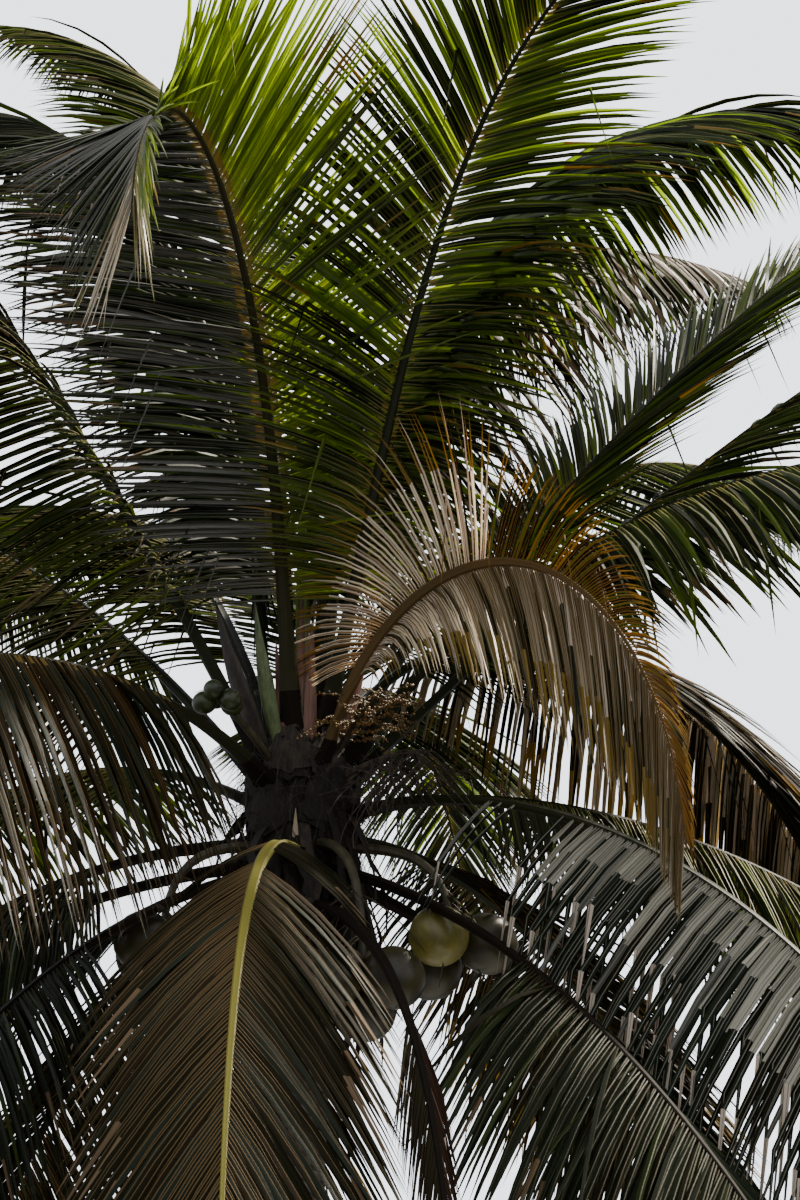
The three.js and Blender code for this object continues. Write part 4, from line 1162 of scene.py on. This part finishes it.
# Azimuth, reach, rise, half width, finish and slot, and whether it has split open
SPATHES = {
    "spathe_green": (240, 0.33, 0.64, 0.034, SPATHE_GREEN, "spathe_green", False),
    "spathe_brown": (224, 0.43, 0.64, 0.044, SPATHE_BROWN, "spathe_brown", True),
    "spathe_red": (344, 0.27, 0.65, 0.040, SPATHE_RED, "spathe_brown", True),
}


def split_open(spathe, azimuth):
    """A ripe spathe splits along its inner side: those faces go, and the wall gets its thickness."""
    inward = Vector((-math.cos(math.radians(azimuth)), -math.sin(math.radians(azimuth)), 0))
    for face in spathe.data.polygons:
        above = face.center.z > HEART[2] + OPEN_ABOVE
        face.select = bool(above and face.normal.dot(inward) > OPEN_FACING)
    bpy.ops.object.mode_set(mode="EDIT")
    bpy.ops.mesh.select_mode(type="FACE")
    bpy.ops.mesh.delete(type="FACE")
    bpy.ops.mesh.select_mode(type="VERT")
    bpy.ops.object.mode_set(mode="OBJECT")
    wall = spathe.modifiers.new("wall", "SOLIDIFY")
    wall.thickness = WALL
    wall.offset = -1
    bpy.ops.object.modifier_apply(modifier=wall.name)


for node, (azimuth, reach, rise, half_width, skin, slot_name, opened) in SPATHES.items():
    bend = (mix(SPATHE_ROOT, reach, SPATHE_BOW), rise / 2)
    path = bezier([(SPATHE_ROOT, 0), bend, (reach, rise)], SPATHE_STEPS)
    widths = half_width * widths_along(SPATHE_STEPS, SPATHE_SHARES, SPATHE_WIDTHS)
    spathe = grow_stalk(f"{node}_boat", path, widths, azimuth, SPATHE_SIDES, SPATHE_FLATNESS)
    if opened:
        split_open(spathe, azimuth)
    skin_and_finish(spathe, skin, [node])

# %% Spear leaf
SPEAR_HALF_WIDTH, SPEAR_SIDES, SPEAR_STEPS, PLEAT = 0.026, 18, 16, 0.72
foot_rise, spear_length = spear_low.z - HEART[2], spear_high.z - spear_low.z
spear_path = [(0, foot_rise + spear_length * share) for share in np.linspace(0, 1, SPEAR_STEPS)]
spear_widths = SPEAR_HALF_WIDTH * widths_along(SPEAR_STEPS, [0, 0.3, 0.7, 1], [0.8, 1, 0.7, 0.03])
spear = grow_stalk("spear_leaf_folded", spear_path, spear_widths, 0, SPEAR_SIDES)
# Every second corner of the disc is drawn in, so the folded leaflets show as pleats
shape_selected(
    spear,
    lambda vertex: vertex.index % 2 == 0,
    bpy.ops.transform.resize,
    value=(PLEAT, PLEAT, 1),
    center_override=tuple(HEART),
)
skin_and_finish(spear, SPEAR_GREEN, ["spear_leaf"], crease=25)

# %% Bract and sheath strips
bract_path = bezier([(0.185, -0.32), (0.225, -0.24), (0.215, -0.13)], 7)
bract_widths = [0.010, 0.013, 0.014, 0.012, 0.009, 0.005, 0.001]
bract = grow_stalk("pale_bract", bract_path, bract_widths, 268, sides=8, flatness=0.35)
skin_and_finish(bract, BRACT)

# Each strip's azimuth, top and half width, and the reach of its top
SHEATH_STRIPS = [(272, 0.74, 0.020, 0.12), (284, 0.60, 0.026, 0.17), (246, 0.52, 0.020, 0.22)]
STRIP_WIDTHS = np.array([0.9, 1, 1, 0.95, 0.9, 0.75, 0.6, 0.4, 0.05])
for number, (azimuth, top, half_width, reach) in enumerate(SHEATH_STRIPS, 1):
    strip_path = bezier([(0.15, 0.02), (0.17, top / 2), (reach, top)], len(STRIP_WIDTHS))
    widths = half_width * STRIP_WIDTHS
    strip = grow_stalk(f"sheath_strip_{number}", strip_path, widths, azimuth, sides=8, flatness=0.16)
    skin_and_finish(strip, SPATHE_RED)

# %% [markdown]
# ## Nuts
# A coconut in its husk is a blunt egg with three soft ridges, a nipple at its free end and a cap of
# stiff scales where it hangs. It is shaped once from a sphere: ridges are pulled out, the end is
# drawn, and the cap is a second sphere pressed flat. Each nut on the palm is a copy with its own mesh.

# %% One nut
RIDGE_OUT, NIPPLE_OUT, LONGER_NUT = 1.09, 0.16, 1.12
CAP_AT, CAP_RADIUS, CAP_FLATNESS, BETWEEN_SCALES = -0.98, 0.46, 0.42, 0.78
CAP_FACE = (0, 0, -1)


def everywhere(vertex):
    return True


def threefold(co):
    """1 on each of three lines down the nut, and -1 midway between them."""
    return math.cos(3 * math.atan2(co.y, co.x))


def on_ridge(vertex):
    return threefold(vertex.co) > 0.75 and abs(vertex.co.z) < 0.85


def at_free_end(vertex):
    return vertex.co.z > 0.99


def between_scales(vertex):
    return threefold(vertex.co) < -0.4 and vertex.co.xy.length > 0.3


def resize(piece, chosen, value, centre):
    shape_selected(piece, chosen, bpy.ops.transform.resize, value=value, center_override=centre)


bpy.ops.object.select_all(action="DESELECT")
bpy.ops.mesh.primitive_uv_sphere_add(segments=24, ring_count=16, radius=1)
nut_model = bpy.context.object
nut_model.name = "nut_model"
for polygon in nut_model.data.polygons:
    polygon.select = False
resize(nut_model, on_ridge, (RIDGE_OUT, RIDGE_OUT, 1), (0, 0, 0))
shape_selected(nut_model, at_free_end, bpy.ops.transform.translate, value=(0, 0, NIPPLE_OUT))
shape_selected(nut_model, everywhere, bpy.ops.mesh.vertices_smooth, factor=0.5, repeat=2)
resize(nut_model, everywhere, (0.99, 0.99, LONGER_NUT), (0, 0, 0))
bpy.ops.mesh.primitive_uv_sphere_add(
    segments=18, ring_count=8, radius=CAP_RADIUS, location=(0, 0, CAP_AT)
)
cap = bpy.context.object
bpy.ops.object.transform_apply(location=True, rotation=True, scale=True)
resize(cap, everywhere, (1, 1, CAP_FLATNESS), CAP_FACE)
resize(cap, between_scales, (BETWEEN_SCALES, BETWEEN_SCALES, 1), CAP_FACE)
cap.data.materials.append(CALYX)
nut_model.data.materials.append(NUT_SKIN)
select_only(nut_model)
cap.select_set(True)
bpy.ops.object.join()
nut_mesh = nut_model.data
print("one nut:", len(nut_mesh.polygons), "faces")


# %% Hanging nuts
def hang_nut(centre, outward, radius, skin, turn=0.0):
    """A copy of the nut with its own mesh, its free end pointing outward."""
    mesh = nut_mesh.copy()
    spin = Matrix.Rotation(turn, 4, "Z")
    aim = Vector(outward).to_track_quat("Z", "Y").to_matrix().to_4x4()
    mesh.transform(Matrix.Translation(Vector(centre)) @ aim @ Matrix.Scale(radius, 4) @ spin)
    mesh.materials[0] = skin
    nut = bpy.data.objects.new("nut", mesh)
    bpy.context.scene.collection.objects.link(nut)
    return nut


def join_nuts(nuts, name, nodes=()):
    select_only(nuts[0])
    for nut in nuts[1:]:
        nut.select_set(True)
    bpy.ops.object.join()
    nuts[0].name = name
    finish_piece(nuts[0], nodes, crease=60)


def places_on(path, shares, azimuth):
    """Places at shares of a path of (reach, rise) pairs that runs out at an azimuth."""
    knots = np.linspace(0, 1, len(path))
    reach, rise = [np.interp(shares, knots, path[:, k]) for k in range(2)]
    return around(np.radians(azimuth) + 0 * shares, reach, rise)[:, None, :]


print("materials of a nut:", [skin.name for skin in nut_mesh.materials])

# %% Nut bunches
# Azimuth, reach, drop below the heart, number of nuts, their radius, and the finish of the last one.
# The other nuts of a bunch get the darker nut finish, which is painted shade.
BUNCHES = {
    "bunch_left": (213, 0.56, 0.69, 3, 0.102, NUT_IN_PAINTED_SHADE),
    "bunch_right": (336, 0.61, 0.66, 3, 0.104, NUT_SKIN),
    "bunch_front": (297, 0.54, 0.85, 3, 0.104, NUT_IN_PAINTED_SHADE),
    "bunch_back": (110, 0.56, 0.73, 4, 0.102, NUT_SKIN),
    "bunch_back_right": (65, 0.52, 0.64, 3, 0.098, NUT_IN_PAINTED_SHADE),
}
FREE_END_DOWN = np.array([0, 0, 0.9])
SPIKELET_START = np.array([0, 0, 0.06])
SPIKELET_HALF_WIDTH, BARE_HALF_WIDTH, BARE_SPIKELETS = 0.008, 0.0042, 16
BUNCH_STEPS = 14
# In nut radii: how far the nuts of a bunch stand from its middle and above or below it, and how far
# a cap is from the middle of its nut
FROM_MIDDLE, STAGGER, CAP_DISTANCE = 1.06, 0.35, 1.12
DOWN = np.array([0, 0, -1.0])
rng = np.random.default_rng(19)
spikelets = Collector()
for node, (azimuth, reach, drop, count, radius, skin) in BUNCHES.items():
    middle = around(np.radians(azimuth), reach, -drop)
    hung = []
    for i in range(count):
        turn = math.radians(azimuth + 30 + 360 * i / count)
        out = np.array([math.cos(turn), math.sin(turn), 0])
        centre = middle + out * radius * FROM_MIDDLE
        centre[2] += radius * (-STAGGER if i % 2 else STAGGER)
        # Only the last nut keeps the bunch's finish; the others are painted in shade.
        own_skin = skin if i == count - 1 else NUT_IN_PAINTED_SHADE
        hung.append(hang_nut(centre, out - FREE_END_DOWN, radius * 0.98, own_skin, rng.uniform(0, 6)))
        # A short spikelet carries each nut from the bunch's stalk to its cap
        cap_place = centre - unit(out - FREE_END_DOWN) * radius * CAP_DISTANCE
        start = middle + SPIKELET_START
        way_there = np.linspace(0, 1, 5)[:, None] * (cap_place - start)
        tubes(spikelets, (start + way_there)[None], SPIKELET_HALF_WIDTH, 6)
    join_nuts(hung, node.replace("bunch", "nuts"), [node])

    ends = [(0.06, -0.23), (reach * 0.7, -0.26), (reach, -0.45 * drop), (reach, -drop)]
    path = bezier(ends, BUNCH_STEPS)
    widths = np.linspace(0.022, 0.012, BUNCH_STEPS)
    stalk = grow_stalk(node.replace("bunch", "nut_stalk"), path, widths, azimuth, sides=9)
    skin_and_finish(stalk, STALK)

    # Bare spikelets whose nuts have dropped
    start = places_on(path, rng.uniform(0.62, 1, BARE_SPIKELETS), azimuth)
    turn = rng.uniform(0, 2 * np.pi, BARE_SPIKELETS)
    way = np.stack([np.cos(turn), np.sin(turn), rng.uniform(-0.9, -0.1, BARE_SPIKELETS)], -1)[:, None, :]
    long = rng.uniform(0.10, 0.24, BARE_SPIKELETS)[:, None, None]
    t = np.linspace(0, 1, 6)[None, :, None]
    twig = start + way * t * long + DOWN * t**2 * long * 0.5
    tubes(spikelets, twig, tapering(BARE_HALF_WIDTH, t[..., 0]), 4)
finish_piece(spikelets.mesh("nut_spikelets", [STALK]))

# %% [markdown]
# ## Young nuts
# Five green nuts the size of an orange sit close round the end of a short stalk, between the leaf
# stalks on the left. They are copies of the same nut, smaller and not as even in size.

# %% Young nuts
YOUNG_AZIMUTH, YOUNG_REACH, YOUNG_RISE = 236, 0.50, 0.22
YOUNG_RADIUS, YOUNG_COUNT, YOUNG_FROM_MIDDLE = 0.040, 5, 1.15
path = bezier([(0.06, -0.02), (YOUNG_REACH * 0.6, 0.16), (YOUNG_REACH, YOUNG_RISE)], 10)
widths = np.linspace(0.018, 0.012, len(path))
stalk = grow_stalk("young_nut_stalk", path, widths, YOUNG_AZIMUTH, sides=9)
skin_and_finish(stalk, STALK)
middle = around(np.radians(YOUNG_AZIMUTH), YOUNG_REACH, YOUNG_RISE)
young = []
for i in range(YOUNG_COUNT):
    turn = 0.6 + 2 * math.pi * i / YOUNG_COUNT
    out = np.array([math.cos(turn), math.sin(turn), 0.35 if i % 2 else -0.25])
    centre = middle + out * YOUNG_RADIUS * YOUNG_FROM_MIDDLE
    radius = YOUNG_RADIUS * rng.uniform(0.85, 1.05)
    young.append(hang_nut(centre, out, radius, NUT_YOUNG, rng.uniform(0, 6)))
join_nuts(young, "young_nuts")
bpy.data.objects.remove(nut_model)

# %% [markdown]
# ## Flower sprays and spent twigs
# A flower spray is a stalk with dozens of side twigs, each studded with buds the size of peas. The
# spent one has only its wiry twigs left. The stalks are extruded, and the twigs and buds, which run
# to thousands, are joined meshes from arrays by the same turning rule as the plain solids.

# %% Buds and wires
BUDS_ON_TWIG, BUD_STRAY, BUD_RADIUS = 22, 0.003, (0.0035, 0.0065)
BUD_CORNERS = np.array([(1, 0, 0), (0, 1, 0), (-1, 0, 0), (0, -1, 0), (0, 0, 1), (0, 0, -1)], float)
BUD_UPPER = [(0, 1, 4), (1, 2, 4), (2, 3, 4), (3, 0, 4)]
BUD_LOWER = [(1, 0, 5), (2, 1, 5), (3, 2, 5), (0, 3, 5)]
WIRES, WIRE_SPREAD, WIRE_LENGTH, WIRE_HALF_WIDTH, FORK_POINT = 3, 0.8, 0.13, 0.002, 4


def add_buds(collector, twig, rng):
    """Eight-sided buds along the twigs."""
    at, knots = np.linspace(0.12, 1, BUDS_ON_TWIG), np.linspace(0, 1, twig.shape[1])
    buds = np.array([[np.interp(at, knots, line[:, k]) for k in range(3)] for line in twig])
    buds = buds.transpose(0, 2, 1).reshape(-1, 3)
    buds = buds + rng.normal(0, BUD_STRAY, buds.shape)
    size = rng.uniform(*BUD_RADIUS, len(buds))[:, None, None]
    faces = repeated([np.array(BUD_UPPER + BUD_LOWER)], len(buds), len(BUD_CORNERS))
    collector.add(buds[:, None, :] + BUD_CORNERS * size, faces, [1])


def add_wires(collector, twig, way, t, rng):
    """Each spent twig forks into finer wires."""
    fork = np.repeat(twig[:, FORK_POINT : FORK_POINT + 1], WIRES, axis=0)
    stray = rng.normal(0, 1, fork.shape)
    wires = fork + unit(np.repeat(way, WIRES, axis=0) + WIRE_SPREAD * stray) * t * WIRE_LENGTH
    tubes(collector, wires, tapering(WIRE_HALF_WIDTH, t[..., 0]), 3)


print("buds on a twig:", BUDS_ON_TWIG, "wires on a spent twig:", WIRES)

# %% Sprays
# Azimuth, reach, rise, number of twigs, their length, how far they point down, their waves, their
# droop, and whether the spray is spent
SPRAYS = {
    "flowers_front": (319, 0.40, 0.29, 46, 0.24, 0.2, 0.012, 0.15, False),
    "flowers_back": (63, 0.42, 0.24, 40, 0.24, 0.2, 0.012, 0.15, False),
    "spent_flowers": (326, 0.54, 0.06, 54, 0.34, 1.1, 0.028, 0.35, True),
}
TWIG_TURN, TWIG_FORWARD, TWIG_HALF_WIDTH = 2.4, 0.5, 0.0036
TWIG_STRAY, TWIG_LENGTHS, WAVES_ALONG = 0.12, (0.6, 1.0), 1.7
rng = np.random.default_rng(23)
for node, (azimuth, reach, rise, count, length, tilt, wave, droop, spent) in SPRAYS.items():
    slot_name = "dry_twig" if spent else "flower_twig"
    stalk_skin, bud_skin = (SPENT, SPENT) if spent else (STALK, FLOWER)
    path = bezier([(0.06, -0.04), (reach * 0.55, rise * 0.4 + 0.06), (reach, rise)], 12)
    widths = np.linspace(0.017, 0.008, len(path))
    stalk = grow_stalk(f"{node}_stalk", path, widths, azimuth, sides=8)
    skin_and_finish(stalk, stalk_skin)

    start = places_on(path, np.linspace(0.5, 0.99, count), azimuth)
    forward = np.array([math.cos(math.radians(azimuth)), math.sin(math.radians(azimuth)), 0.5])
    turn = np.arange(count) * TWIG_TURN
    way = np.stack([np.cos(turn), np.sin(turn), -tilt + 0 * turn], -1) + forward * TWIG_FORWARD
    way = unit(way + rng.normal(0, TWIG_STRAY, way.shape))[:, None, :]
    t = np.linspace(0, 1, 9)[None, :, None]
    long = (length * rng.uniform(*TWIG_LENGTHS, count))[:, None, None]
    waves = rng.normal(0, wave, (count, 1, 3)) * np.sin(t * np.pi * WAVES_ALONG)
    twig = start + way * t * long + waves + DOWN * t**2 * long * droop
    twigs = Collector()
    tubes(twigs, twig, tapering(TWIG_HALF_WIDTH, t[..., 0]), 4)
    if spent:
        add_wires(twigs, twig, way, t, rng)
    else:
        add_buds(twigs, twig, rng)
    finish_piece(twigs.mesh(f"{node}_twigs", [stalk_skin, bud_skin]), [node])
